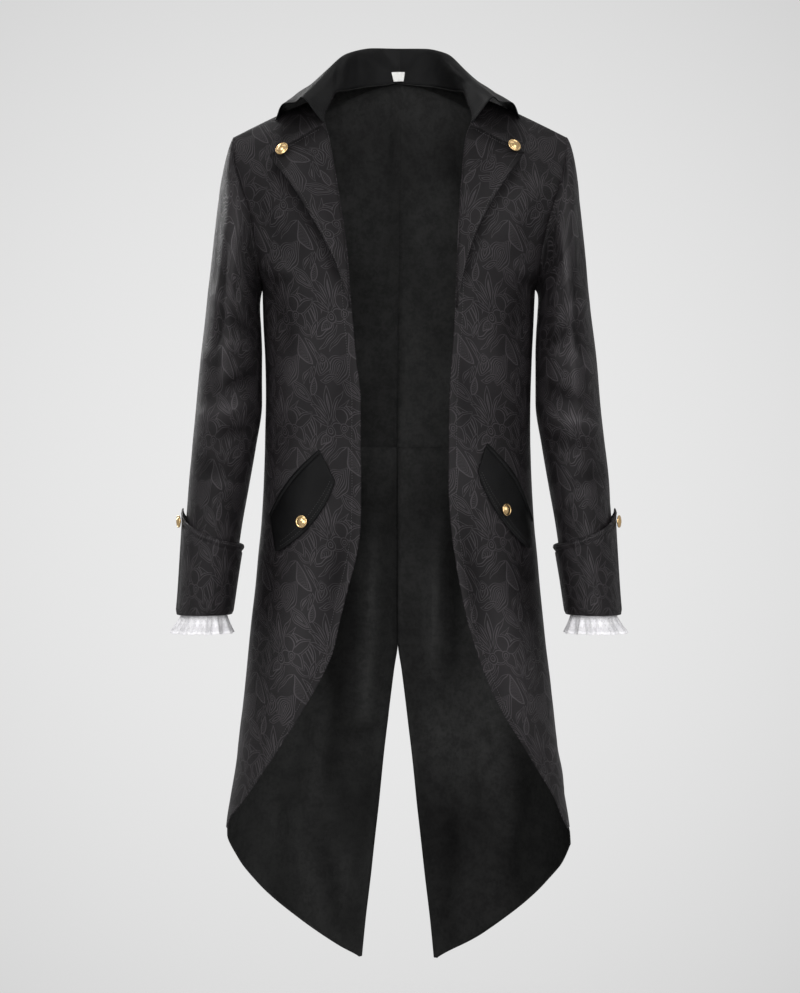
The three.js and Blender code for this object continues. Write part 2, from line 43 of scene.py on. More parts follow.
CLOTH = 1.7               # wall of a cloth panel
LACE_WALL, LABEL_WALL = 0.7, 0.8
LIFT = 0.5                # a piece above the panel that it lies on
SEAM = 0.4                # between two pieces that are sewn edge to edge
HEAD_PUFF = 3.0           # fullness of the sleeve head over the shoulder
HEAD_TUCK = 1.2           # the sleeve head starts this far inside the armhole
SHOULDER_TILT = 1.15      # how the front's shoulder bows between neck and armhole
SHOULDER_ROW, UNDERARM_ROW, WAIST_ROW = 1, 9, 13
SIDES = {"right": -1, "left": 1}      # the wearer's own sides, by the sign of x


# ---------------------------------------------------------------- tables and curves
def table(names, rows):
    columns = dict(zip(names.split(), np.array(rows, float).T))
    columns["rows"] = len(rows)
    return columns


def slope(before, after):
    product = before * after
    total = np.where(np.abs(before + after) < 1e-12, 1, before + after)
    return np.where(product > 0, 2 * product / total, 0)


def at(rows, name, place):
    """A column's value at a fractional row, on a smooth curve without overshoot."""
    column = rows[name]
    place = np.asarray(place, float)
    last = len(column) - 1
    k = np.clip(np.floor(place), 0, last - 1).astype(int)
    t = place - k
    ends = [2 * column[0] - column[1]], [2 * column[-1] - column[-2]]
    steps = np.diff(np.concatenate([ends[0], column, ends[1]]))
    rise = steps[k + 1]
    start, end = slope(steps[k], rise), slope(rise, steps[k + 2])
    return (column[k] + start * (t**3 - 2 * t**2 + t)
            + rise * (3 * t**2 - 2 * t**3) + end * (t**3 - t**2))


def mix(a, b, t):
    return a + (b - a) * t


def smooth(low, high, x):
    t = np.clip((x - low) / (high - low), 0, 1)
    return t * t * (3 - 2 * t)


def points(x, y, z):
    return np.stack(np.broadcast_arrays(x, y, z), -1).astype(float)


def unit(vectors):
    length = np.linalg.norm(vectors, axis=-1, keepdims=True)
    return vectors / np.maximum(length, 1e-9)


# ---------------------------------------------------------------- the coat's sections
FRONT = table("zIn zOut half ySide yMid round edgeRight edgeLeft shift", [
    [20, -58, 219.5, 17, 41, 1.50, 68, 68, 0],
    [12, -49, 220.0, 3, 5, 1.30, 84, 84, 0],
    [-7, -66, 219.0, -12, -31, 1.35, 92, 89, 0],
    [-30, -95, 215.0, -27, -60, 1.40, 99, 94, 0],
    [-62, -122, 207.0, -43, -86, 1.55, 92, 85, 0],
    [-105, -153, 197.0, -54, -104, 1.70, 84, 80.5, 0],
    [-148, -186, 189.5, -57, -114, 1.85, 77, 77, -1],
    [-188, -215, 184.5, -48, -119, 1.95, 71, 75, -1],
    [-224, -237, 181.5, -26, -120, 2.10, 67, 73.5, -1],
    [-255, -250, 180.0, 0, -120, 2.20, 65, 72.3, -1.5],
    [-300, -300, 178.0, 0, -117, 2.25, 61, 70.5, -2],
    [-345, -345, 175.8, 0, -112, 2.30, 57, 67.3, -2],
    [-400, -400, 174.5, 0, -108, 2.30, 51, 64, -2.5],
    [-450, -450, 175.0, 0, -109, 2.30, 51, 63.5, -3],
    [-511, -511, 177.0, 0, -112, 2.30, 50.5, 63, -3],
    [-560, -560, 180.0, 0, -115, 2.30, 51, 66, -3],
    [-600, -600, 184.0, 0, -117, 2.30, 56.5, 71, -3],
    [-640, -640, 187.5, 0, -118, 2.25, 67, 78, -3],
    [-680, -680, 191.5, 0, -119, 2.25, 77, 86.5, -3],
    [-720, -720, 195.5, 0, -120, 2.20, 86, 98.5, -3],
    [-760, -760, 199.5, 0, -121, 2.20, 104, 113, -3],
    [-800, -800, 203.5, 0, -122, 2.20, 127, 132.5, -3],
    [-840, -840, 208.5, 0, -123, 2.20, 152, 157, -3],
    [-880, -880, 214.0, 0, -124, 2.20, 178, 181, -3],
    [-915, -915, 220.0, 0, -125, 2.20, 202, 201.5, -3],
    [-945, -945, 225.0, 0, -126, 2.20, 224, 214, -3],
    [-958, -958, 226.5, 0, -126, 2.20, 228, 221, -3],
])
BACK = table("zIn zOut half ySide yMid round edge shift tilt", [
    [-7, -66, 219.0, -12, -31, 1.35, 92, 0, 1.15],
    [12, -49, 220.0, 3.4, 5.4, 1.30, 84, 0, 1.15],
    [20, -58, 219.5, 17, 41, 1.50, 68, 0, 1.2],
    [28, -76, 217.5, 31, 64, 1.65, 42, 0, 1.4],
    [34, -102, 213.0, 44, 79, 1.80, 0, 0, 1.7],
    [-22, -134, 205.0, 56, 95, 1.85, 0, 0, 1.7],
    [-80, -169, 195.5, 61, 107, 1.90, 0, 0, 1.7],
    [-140, -204, 187.5, 53, 114, 2.00, 0, -1, 1.7],
    [-198, -233, 182.2, 29, 117, 2.10, 0, -1, 1.7],
    [-250, -250, 180.0, 0.4, 117, 2.20, 0, -1.5, 1.7],
    [-300, -300, 178.0, 0.4, 114, 2.25, 0, -2, 1.7],
    [-345, -345, 175.8, 0.4, 109, 2.30, 0, -2, 1.7],
    [-400, -400, 174.5, 0.4, 104, 2.30, 0, -2.5, 1.7],
    [-456, -456, 175.2, 0.4, 103, 2.30, 0, -3, 1.7],
    [-511, -511, 177.0, 0.4, 104, 2.30, 0, -3, 1.7],
])
TAIL = table("z half yMid round vent hem ripple", [
    [-455.6, 175.2, 103, 2.3, 0.2, 175.2, 0],
    [-511, 177.0, 104, 2.3, 0.2, 177.0, 0.5],
    [-560, 180.0, 106, 2.3, 0.2, 180.0, 1.2],
    [-600, 184.0, 108, 2.3, 0.2, 184.0, 2],
    [-640, 187.5, 110, 2.25, 0.2, 187.5, 2.6],
    [-680, 191.5, 112, 2.25, 0.2, 191.5, 3.2],
    [-720, 195.5, 114, 2.2, 0.6, 195.5, 3.8],
    [-760, 199.5, 116, 2.2, 6, 199.5, 4.4],
    [-800, 203.5, 118, 2.2, 11, 203.5, 5],
    [-840, 208.5, 119, 2.2, 15.6, 208.5, 5.4],
    [-880, 214.0, 120, 2.2, 20.3, 214.0, 5.8],
    [-915, 220.0, 121, 2.2, 24, 220.0, 6],
    [-945, 225.0, 122, 2.2, 27, 225.0, 6],
    [-972, 228.0, 122, 2.2, 30, 226.5, 6],
    [-1008, 229.5, 123, 2.2, 34, 213.5, 6],
    [-1040, 230.5, 123, 2.2, 37.5, 191.5, 6],
    [-1069, 231.5, 124, 2.2, 41, 165.5, 6],
    [-1098, 232.5, 124, 2.2, 44.5, 132.5, 6],
    [-1127, 233.0, 125, 2.2, 47.5, 92.5, 6],
    [-1153, 233.5, 125, 2.2, 50, 53, 6],
])
TAIL_SHIFT = -3
LEFT_HEM_SPREAD = 9       # the left tail's hem swings this much wider near its corner
RIPPLE_PITCH = 92
LAPEL = table("row right left", [
    [3.0, 175, 168],
    [4.0, 158.5, 150],
    [5.0, 136, 129],
    [6.0, 115, 109],
    [7.0, 96, 93.5],
    [8.0, 81, 83],
    [9.0, 72, 77],
    [9.6, 65, 72.5],
])
LAPEL_END_ROW = 9.6
LAPEL_TOP_ROW, LAPEL_TIP_DROP = 3.4, 0.22   # the tip's drop is in rows too
LAPEL_FOLD_INSET = 0.2
COLLAR = table("neck xR yR zR xF yF zF fold bulge lift shift", [
    [-3.0, 0, 85, 82, 0, 113, 32, 4, 3, 0, -1],
    [-2.4, 36, 79, 81, 54, 106, 26, 4, 3, 0, -2],
    [-1.7, 65, 62, 72, 99, 84, 8, 5, 5, 0, -4],
    [-0.8, 84, 37, 52, 126, 58, -4, 6, 8, 0, -5],
    [0.1, 98, 7, 31, 144, 27, -11, 7, 8, 2, -5],
    [0.9, 112, -22, 14, 155, 3, -19, 8, 7, 5, -4],
    [2.3, 126, -46, -2, 161, -14, -27, 9, 6, 9, -3],
])
COLLAR_RISE = 0.6         # the collar's seam above the neck edge
SHOULDER_SLOPE = 0.45     # drop of the shoulder for each mm outward
ROLL_DROP = -0.55         # how steeply the cloth beside the collar's roll turns down
SLEEVE = table("xOut zOut xIn zIn halfDepth yMid shift", [
    [221.0, -48, 183.0, -249, 62, 1, 0],
    [229.5, -80, 183.6, -256, 67, 0, 0],
    [237.0, -132, 183.6, -268, 71, -1, -1],
    [243.5, -188, 183.0, -284, 74, -3, -1.5],
    [250.0, -246, 181.4, -306, 74, -5, -1.5],
    [256.5, -310, 180.0, -340, 72, -8, -1.5],
    [264.0, -385, 180.0, -399, 68, -11, -1.5],
    [270.5, -449, 188.0, -457, 64, -15, -1.5],
    [275.5, -505, 197.0, -511, 60, -19, -1.5],
    [279.0, -556, 206.0, -563, 57, -22, -1.5],
    [283.5, -612, 213.5, -618, 55, -24, -1.5],
    [288.0, -668, 220.5, -672, 54, -25, -1.5],
])
HEAD_ROWS = 2
CUFF_TOP_OUTER, CUFF_TOP_INNER, CUFF_BOTTOM = -539, -587, -677
CUFF_STAND, CUFF_FLARE = 4, 2.2
CUFF_BUTTON_TURN, CUFF_BUTTON_DROP = 0.045, 17.0
LACE_TOP, LACE_BOTTOM, LACE_INSET, LACE_FLARE = -655, -702, 3.6, 15
FLAPS = {
    "right": {
        "sewnTop": (101.5, -468), "sewnEnd": (167, -550), "bow": 5,
        "freeTop": (84, -503), "freeEnd": (159, -594), "belly": 12.5, "button": (123.5, -556),
    },
    "left": {
        "sewnTop": (110, -460), "sewnEnd": (171, -557), "bow": 7,
        "freeTop": (100, -491), "freeEnd": (165.5, -591), "belly": 8.5, "button": (133, -541),
    },
}
LAPEL_BUTTONS = {"right": (0.775, 0.036), "left": (0.80, 0.018)}
LAPEL_LIFT = 5.0          # how far the lapel's free edge stands off the chest
WELT_WIDTH = 5
BELLY_POWER = 0.7


def section(rows, sign, place, x, edge):
    half, rounding = at(rows, "half", place), at(rows, "round", place)
    fall = np.maximum(1 - np.minimum(x / half, 1) ** rounding, 0) ** (1 / rounding)
    y = mix(at(rows, "ySide", place), at(rows, "yMid", place), fall)
    share = np.maximum(x - edge, 0) / np.maximum(half - edge, 1)
    tilt = at(rows, "tilt", place) if "tilt" in rows else SHOULDER_TILT
    z = mix(at(rows, "zIn", place), at(rows, "zOut", place), share**tilt)
    return points(sign * x + at(rows, "shift", place), y, z)


def arc_x(half, rounding, edge, limit, u):
    low, high = (np.arcsin(np.minimum(x / half, 1) ** (rounding / 2)) for x in (edge, limit))
    return half * np.sin(mix(low, high, u)) ** (2 / rounding)


def front_edge(side, place):
    edge = at(FRONT, "edgeRight" if side == "right" else "edgeLeft", place)
    return edge - SIDES[side] * at(FRONT, "shift", place)


def front_point(side, place, x):
    return section(FRONT, SIDES[side], place, x, front_edge(side, place))


def front_face(side, u, place):
    half = at(FRONT, "half", place)
    edge = np.minimum(front_edge(side, place), half - 1)
    return front_point(side, place, arc_x(half, at(FRONT, "round", place), edge, half, u))


def back_face(side, u, place):
    edge = np.maximum(at(BACK, "edge", place), 0)
    half = at(BACK, "half", place)
    x = arc_x(half, at(BACK, "round", place), edge, half, u)
    return section(BACK, SIDES[side], place, x, edge)


def tail_face(side, u, place):
    half, rounding = at(TAIL, "half", place), at(TAIL, "round", place)
    vent = np.maximum(at(TAIL, "vent", place), SEAM / 2)
    hem = at(TAIL, "hem", place)
    if side == "left":
        z = at(TAIL, "z", place)
        hem = hem + LEFT_HEM_SPREAD * smooth(950, 1020, -z) * (1 - smooth(1115, 1153, -z))
    hem = np.maximum(np.minimum(hem, half), vent + 2)
    x = arc_x(half, rounding, vent, hem, u)
    fall = np.maximum(1 - (x / half) ** rounding, 0) ** (1 / rounding)
    swell = (1 - np.cos(2 * np.pi * x / RIPPLE_PITCH)) / 2
    y = mix(SEAM, at(TAIL, "yMid", place), fall) + at(TAIL, "ripple", place) * swell * fall
    return points(SIDES[side] * x + TAIL_SHIFT, y, at(TAIL, "z", place))


def row_at(z):
    low, high = np.full(np.shape(z), 9.0), np.full(np.shape(z), FRONT["rows"] - 1.0)
    for _ in range(30):
        middle = (low + high) / 2
        above = at(FRONT, "zIn", middle) > z
        low, high = np.where(above, middle, low), np.where(above, high, middle)
    return low


def on_front(side, place, x, height):
    """Points a height above a front's face, and the face's outward normals there."""
    along_x = front_point(side, place, x + 0.5) - front_point(side, place, x - 0.5)
    along_row = front_point(side, place + 0.01, x) - front_point(side, place - 0.01, x)
    out = unit(np.cross(along_x, along_row))
    out = np.where(out[..., 1:2] > 0, -out, out)
    return front_point(side, place, x) + out * np.asarray(height)[..., None], out


def on_front_at(side, x, z, height):
    place = row_at(z)
    return on_front(side, place, x - SIDES[side] * at(FRONT, "shift", place), height)


def lapel_edge(side, place):
    rows = np.interp(place, LAPEL["row"], np.arange(LAPEL["rows"]))
    return at(LAPEL, side, rows)


def lapel_point(side, u, v, height):
    place = mix(LAPEL_TOP_ROW + LAPEL_TIP_DROP * u, LAPEL_END_ROW, v)
    edge = front_edge(side, place) + LAPEL_FOLD_INSET
    limit = lapel_edge(side, place) - SIDES[side] * at(FRONT, "shift", place)
    return on_front(side, place, mix(edge, np.maximum(limit, edge + 1), u), height)


# ---------------------------------------------------------------- collar
def neck_point(sign, place):
    side = "left" if sign > 0 else "right"
    neck = at(COLLAR, "neck", place)
    seam = SHOULDER_ROW + np.abs(neck)
    zero = np.zeros_like(seam)
    behind = back_face(side, zero, np.where(neck < 0, seam, SHOULDER_ROW))
    before = front_face(side, zero, np.where(neck < 0, SHOULDER_ROW, seam))
    point = np.where((neck < 0)[..., None], behind, before)
    point[..., 0] *= smooth(0, 0.05, place) if np.ndim(place) else 1
    point[..., 2] += COLLAR_RISE
    return point


def through(path, w):
    """Centripetal Catmull-Rom curve through a list of points, w from 0 to 1."""
    path = [2 * path[0] - path[1], *path, 2 * path[-1] - path[-2]]
    path = np.stack(path)
    count = len(path) - 3
    place = np.clip(w, 0, 1) * count
    k = np.clip(np.floor(place), 0, count - 1).astype(int)
    t = (place - k)[..., None]
    spot = np.indices(k.shape)
    a, b, c, d = (path[(k + n, *spot)] for n in range(4))
    ab, bc, cd = (np.maximum(np.linalg.norm(q - p, axis=-1, keepdims=True), 1e-6) ** 0.5
                  for p, q in ((a, b), (b, c), (c, d)))
    start = ((b - a) / ab - (c - a) / (ab + bc) + (c - b) / bc) * bc
    end = ((c - b) / bc - (d - b) / (bc + cd) + (d - c) / cd) * bc
    return (b + start * (t**3 - 2 * t**2 + t)
            + (c - b) * (3 * t**2 - 2 * t**3) + end * (t**3 - t**2))


def collar_half(sign, place, w):
    neck = neck_point(sign, place)
    roll = points(*(at(COLLAR, n, place) for n in ("xR", "yR", "zR")))
    free = points(*(at(COLLAR, n, place) for n in ("xF", "yF", "zF")))
    shift = at(COLLAR, "shift", place)
    roll[..., 0] = roll[..., 0] * sign + shift
    free[..., 0] = free[..., 0] * sign + shift
    free[..., 2] -= SHOULDER_SLOPE * sign * shift
    out = free - neck
    out[..., 2] = 0
    out = unit(out)
    fold = at(COLLAR, "fold", place)[..., None]
    down = np.array([0, 0, ROLL_DROP])
    inner, outer = roll - fold * out + fold * down, roll + fold * out + fold * down
    middle = (outer + free) / 2 + out * at(COLLAR, "bulge", place)[..., None]
    middle[..., 2] += at(COLLAR, "lift", place)
    return through([neck, (neck + inner) / 2, inner, roll, outer, middle, free], w)


def collar_point(s, w):
    s, w = np.broadcast_arrays(np.asarray(s, float), np.asarray(w, float))
    place = np.abs(s) * (COLLAR["rows"] - 1)
    both = [collar_half(sign, place, w) for sign in (-1, 1)]
    return np.where((s < 0)[..., None], both[0], both[1])


# ---------------------------------------------------------------- sleeves and cuffs
def ring_point(side, place, turn, grow=0.0):
    angle = 2 * np.pi * turn
    mid = {k: (at(SLEEVE, k + "Out", place) + at(SLEEVE, k + "In", place)) / 2 for k in "xz"}
    half = {k: (at(SLEEVE, k + "Out", place) - at(SLEEVE, k + "In", place)) / 2 for k in "xz"}
    x = mid["x"] + (half["x"] + grow) * np.cos(angle)
    y = at(SLEEVE, "yMid", place) - (at(SLEEVE, "halfDepth", place) + grow) * np.sin(angle)
    z = mid["z"] + half["z"] * np.cos(angle)
    return points(SIDES[side] * x + at(SLEEVE, "shift", place), y, z)


def armhole_point(side, turn):
    wrapped = turn - np.floor(turn)
    front = wrapped <= 0.5
    share = np.where(front, 2 * wrapped, 2 * (1 - wrapped))
    place = mix(SHOULDER_ROW, UNDERARM_ROW, share)
    one = np.ones_like(place)
    point = np.where(front[..., None], front_face(side, one, place), back_face(side, one, place))
    point[..., 0] -= SIDES[side] * HEAD_TUCK
    return point


def sleeve_face(side, turn, place):
    fade = smooth(0, HEAD_ROWS, place)[..., None]
    puff = HEAD_PUFF * np.sin(np.pi * np.clip(place / HEAD_ROWS, 0, 1))
    puff = puff * np.maximum(np.cos(2 * np.pi * turn), 0)
    point = mix(armhole_point(side, turn), ring_point(side, place, turn), fade)
    return point + puff[..., None] * np.array([SIDES[side] * 0.8, 0, 0.6])


def sleeve_at_height(side, turn, z, grow):
    turn, z, grow = np.broadcast_arrays(turn, z, grow)
    low, high = np.full(z.shape, float(HEAD_ROWS)), np.full(z.shape, SLEEVE["rows"] + 1.0)
    for _ in range(26):
        middle = (low + high) / 2
        above = ring_point(side, middle, turn, grow)[..., 2] > z
        low, high = np.where(above, middle, low), np.where(above, high, middle)
    point = ring_point(side, low, turn, grow)
    point[..., 2] = z
    return point


def cuff_top(turn):
    wrapped = turn - np.floor(turn)
    around = np.where(wrapped <= 0.5, 2 * wrapped, 2 * (1 - wrapped))
    return mix(CUFF_TOP_OUTER, CUFF_TOP_INNER, 1 - (1 - around) ** 2)


def flap_place(flap, t, w):
    bow = flap["bow"] * np.sin(np.pi * t)
    sewn = [mix(flap["sewnTop"][k], flap["sewnEnd"][k], t) for k in (0, 1)]
    run = [flap["freeEnd"][k] - flap["freeTop"][k] for k in (0, 1)]
    belly = flap["belly"] * np.maximum(np.sin(np.pi * t), 0) ** BELLY_POWER
    out = np.where(w > 0, belly / math.hypot(*run), 0)
    free = flap["freeTop"][0] + run[0] * t + out * run[1], \
        flap["freeTop"][1] + run[1] * t - out * run[0]
    return mix(sewn[0] + bow, free[0], w), mix(sewn[1] + bow / 2, free[1], w)


# ---------------------------------------------------------------- creases
def creased(flat, folds):
    """Depth of soft troughs (-) and ridges (+) at flat points (across, up)."""
    depth = np.zeros(flat.shape[:-1])
    for x0, z0, x1, z1, width, height in folds:
        start, end = np.array([x0, z0]), np.array([x1, z1])
        run = end - start
        t = np.clip(((flat - start) @ run) / (run @ run), 0, 1)
        away = np.linalg.norm(flat - start - t[..., None] * run, axis=-1)
        taper = 0.35 + 0.65 * np.sin(np.pi * np.clip(t, 0.02, 0.98))
        depth += height * taper * np.exp(-((away / width) ** 2))
    return depth


def uneven(flat, height, seed):
    """Slow unevenness of hanging cloth, never quite regular."""
    a, b = flat[..., 0] / 100, flat[..., 1] / 100
    waves = (np.sin(2.1 * a + 1.3 * b + seed) * np.cos(1.7 * b - 0.6 * a + 2 * seed)
             + 0.5 * np.sin(5.3 * a - 1.9 * b + 3 * seed) * np.sin(3.1 * b + seed)
             + 0.25 * np.sin(11 * a + 4 * b + 5 * seed))
    return height * waves


# ---------------------------------------------------------------- cloth meshes
def new_piece(name, vertices, faces, materials):
    """A smooth mesh object from vertices in millimetres."""
    mesh = bpy.data.meshes.new(name)
    mesh.from_pydata((np.array(vertices) * MM).tolist(), [], faces)
    for material in materials:
        mesh.materials.append(material)
    mesh.polygons.foreach_set("use_smooth", np.ones(len(faces), bool))
    piece = bpy.data.objects.new(name, mesh)
    bpy.context.scene.collection.objects.link(piece)
    return piece


def gradient(grid, axis, ring):
    if ring:
        return np.roll(grid, -1, axis) - np.roll(grid, 1, axis)
    return np.gradient(grid, axis=axis)


def normals(grid, ring):
    return unit(np.cross(gradient(grid, 0, False), gradient(grid, 1, ring)))


# Painted shade and light: how strongly it follows the creases, for each mm of depth, its limits,
# and how dark the painted shadows are beside the lapel, below the collar and over the lapel.
CREASE_PAINTED_SHADE = {"front": 0.13, "back": 0.2, "tail": 0.12, "sleeve": 0.13}
PAINTED_SHADE_LOW, PAINTED_SHADE_HIGH = 0.5, 1.6
LAPEL_PAINTED_SHADOW, COLLAR_PAINTED_SHADOW = 0.55, 0.6
LAPEL_PAINTED_SHADE = 0.84


def nap_of(depth, strength):
    """Painted shade in the creases' troughs and painted light on their ridges, outside and inside,
    from the creases' depth in mm.
    """
    return tuple(np.clip(1 + sign * strength * depth, PAINTED_SHADE_LOW, PAINTED_SHADE_HIGH) for sign in (1, -1))


def cloth(name, grid, uv, wall, materials, ring=False, rim_kind=0, nap=None):
    """One closed wall from a grid of face points (rows, columns, xyz) in millimetres.

    The rim is half round. Faces get the first material outside and the second inside."""
    rows, columns = grid.shape[:2]
    out = normals(grid, ring)
    inner = grid - out * wall
    middle = (grid + inner) / 2
    count = rows * columns
    vertices = [grid.reshape(-1, 3), inner.reshape(-1, 3)]
    index = np.arange(count).reshape(rows, columns)
    faces, kinds = [], []

    def sheet_faces(index, kind, flip):
        a, b = index[:-1], index[1:]
        if ring:
            right_a, right_b = np.roll(a, -1, 1), np.roll(b, -1, 1)
        else:
            right_a, right_b, a, b = a[:, 1:], b[:, 1:], a[:, :-1], b[:, :-1]
        quads = np.stack([a, b, right_b, right_a], -1).reshape(-1, 4)
        faces.append(quads[:, ::-1] if flip else quads)
        kinds.append(np.full(len(quads), kind))

    sheet_faces(index, 0, False)
    sheet_faces(index + count, 1, True)
    if ring:
        loops = [index[0][::-1], index[-1]]
    else:
        loops = [np.concatenate([index[0, :0:-1], index[:-1, 0], index[-1, :-1], index[:0:-1, -1]])]
    added = 2 * count
    flat_middle = middle.reshape(-1, 3)
    for loop in loops:
        around = flat_middle[loop]
        tangent = unit(np.roll(around, -1, 0) - np.roll(around, 1, 0))
        push = unit(np.cross(tangent, out.reshape(-1, 3)[loop]))
        vertices.append(around + push * wall * 0.5)
        rim = added + np.arange(len(loop))
        added += len(loop)
        for low, high in ((rim, loop), (loop + count, rim)):
            quads = np.stack([low, np.roll(low, -1), np.roll(high, -1), high], -1)
            faces.append(quads)
            kinds.append(np.full(len(quads), rim_kind))
    faces = np.concatenate(faces).tolist()
    piece = new_piece(f"{name}_cloth", np.concatenate(vertices), faces, materials)
    mesh = piece.data
    mesh.polygons.foreach_set("material_index", np.concatenate(kinds))
    flat_uv = uv.reshape(-1, 2) * MM
    per_vertex = np.concatenate([flat_uv, flat_uv, *[flat_uv[loop] for loop in loops]])
    corner = np.zeros(len(mesh.loops), int)
    mesh.loops.foreach_get("vertex_index", corner)
    # Painted shade and light per vertex, for the outside, inside and rim, kept in a mesh attribute
    # that the materials multiply into colour and gloss.
    outer, inner_nap = nap if nap is not None else (np.ones(count), np.ones(count))
    outer, inner_nap = outer.reshape(-1), inner_nap.reshape(-1)
    painted_values = np.concatenate([outer, inner_nap, *[outer[loop] for loop in loops]])
    mesh.attributes.new("nap", "FLOAT", "POINT").data.foreach_set("value", painted_values.astype(np.float32))
    layer = mesh.uv_layers.new(name="cloth")
    values = per_vertex[corner]
    if ring:
        values = unwrap_seam(values, per_vertex[:, 0].max())
    layer.data.foreach_set("uv", values.reshape(-1))
    return piece


def unwrap_seam(values, around):
    """Carries a tube's faces across its seam, so that the pattern isn't squeezed there."""
    quads = values.reshape(-1, 4, 2).copy()
    high = quads[..., 0].max(1, keepdims=True)
    jump = (high - quads[..., 0]) > around * 0.5
    quads[..., 0] += np.where(jump, around, 0)
    return quads.reshape(-1, 2)


def arc_lengths(grid, axis):
    steps = np.linalg.norm(np.diff(grid, axis=axis), axis=-1)
    pad = [(0, 0), (0, 0)]
    pad[axis] = (1, 0)
    return np.pad(np.cumsum(steps, axis=axis), pad)


def spread(across, along, v_low=0.0, v_high=1.0, ring=False):
    u = np.linspace(0, 1, across + 1)
    if ring:
        u = u[:-1]
    return np.meshgrid(u, np.linspace(v_low, v_high, along + 1))


def oriented(side, u):
    return u if SIDES[side] > 0 else 1 - u


def declare(piece, node):
    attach(piece, "root")
    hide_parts(node)


def sewn(kind, side, grid, uv, wall, materials, **how):
    """Makes a sheet, on one side or (side None) on the middle, hangs it on the root body and hides
    the part it stands for.
    """
    node = f"{kind}_{side}" if side else kind
    piece = cloth(node, grid, uv, wall, materials, **how)
    declare(piece, node)


# ---------------------------------------------------------------- node materials
class Shader:
    """A material's node tree, with short calls for the nodes used here."""

    def __init__(self, name):
        self.material = bpy.data.materials.new(name)
        self.material.use_nodes = True
        self.tree = self.material.node_tree
        self.surface = self.tree.nodes["Principled BSDF"]

    def node(self, kind, *values, **settings):
        """A new node, with its settings and the values of its first inputs."""
        node = self.tree.nodes.new(f"ShaderNode{kind}")
        for name, value in settings.items():
            setattr(node, name, value)
        for value, socket in zip(values, node.inputs):
            self.link(value, socket)
        return node

    def link(self, value, socket):
        if isinstance(value, bpy.types.NodeSocket):
            self.tree.links.new(value, socket)
        elif value is not None:
            socket.default_value = value

    def math(self, operation, a, b=None, c=None, clamp=False):
        return self.node("Math", a, b, c, operation=operation, use_clamp=clamp).outputs[0]

    def vector(self, operation, a, b=None, c=None):
        node = self.node("VectorMath", a, b, c, operation=operation)
        return node.outputs["Value" if operation in ("LENGTH", "DOT_PRODUCT") else "Vector"]

    def split(self, vector):
        return tuple(self.node("SeparateXYZ", vector).outputs)

    def rotate(self, vector, angle):
        node = self.node("VectorRotate", rotation_type="Z_AXIS")
        self.link(vector, node.inputs["Vector"])
        node.inputs["Angle"].default_value = -angle
        return node.outputs[0]

    def band(self, value, low, high, to_low=0.0, to_high=1.0):
        return self.node("MapRange", value, low, high, to_low, to_high,
                         interpolation_type="SMOOTHSTEP").outputs[0]

    def noise(self, scale, detail=2.0, vector=None, roughness=0.5):
        node = self.node("TexNoise")
        node.inputs["Scale"].default_value = scale
        node.inputs["Detail"].default_value = detail
        node.inputs["Roughness"].default_value = roughness
        self.link(vector, node.inputs["Vector"])
        return node.outputs["Fac"]

    def blend(self, share, a, b):
        node = self.node("Mix", share, data_type="RGBA")
        self.link(a, node.inputs[6])
        self.link(b, node.inputs[7])
        return node.outputs[2]

    def uv(self):
        return self.node("UVMap", uv_map="cloth").outputs[0]

    def napped(self, colour, gloss):
        """Colour and gloss of the cloth, multiplied by the painted shade and light stored on the
        mesh.
        """
        painted_factor = self.node("Attribute", attribute_name="nap").outputs["Fac"]
        self.set(Base_Color=self.vector("MULTIPLY", colour, painted_factor),
                 Specular_IOR_Level=self.math("MULTIPLY", painted_factor, gloss))

    def place(self):
        return self.node("TexCoord").outputs["Object"]

    def bump(self, height, distance, strength=1.0):
        node = self.node("Bump")
        node.inputs["Distance"].default_value = distance
        node.inputs["Strength"].default_value = strength
        self.link(height, node.inputs["Height"])
        self.link(node.outputs[0], self.surface.inputs["Normal"])

    def set(self, **values):
        for name, value in values.items():
            self.link(value, self.surface.inputs[name.replace("_", " ")])


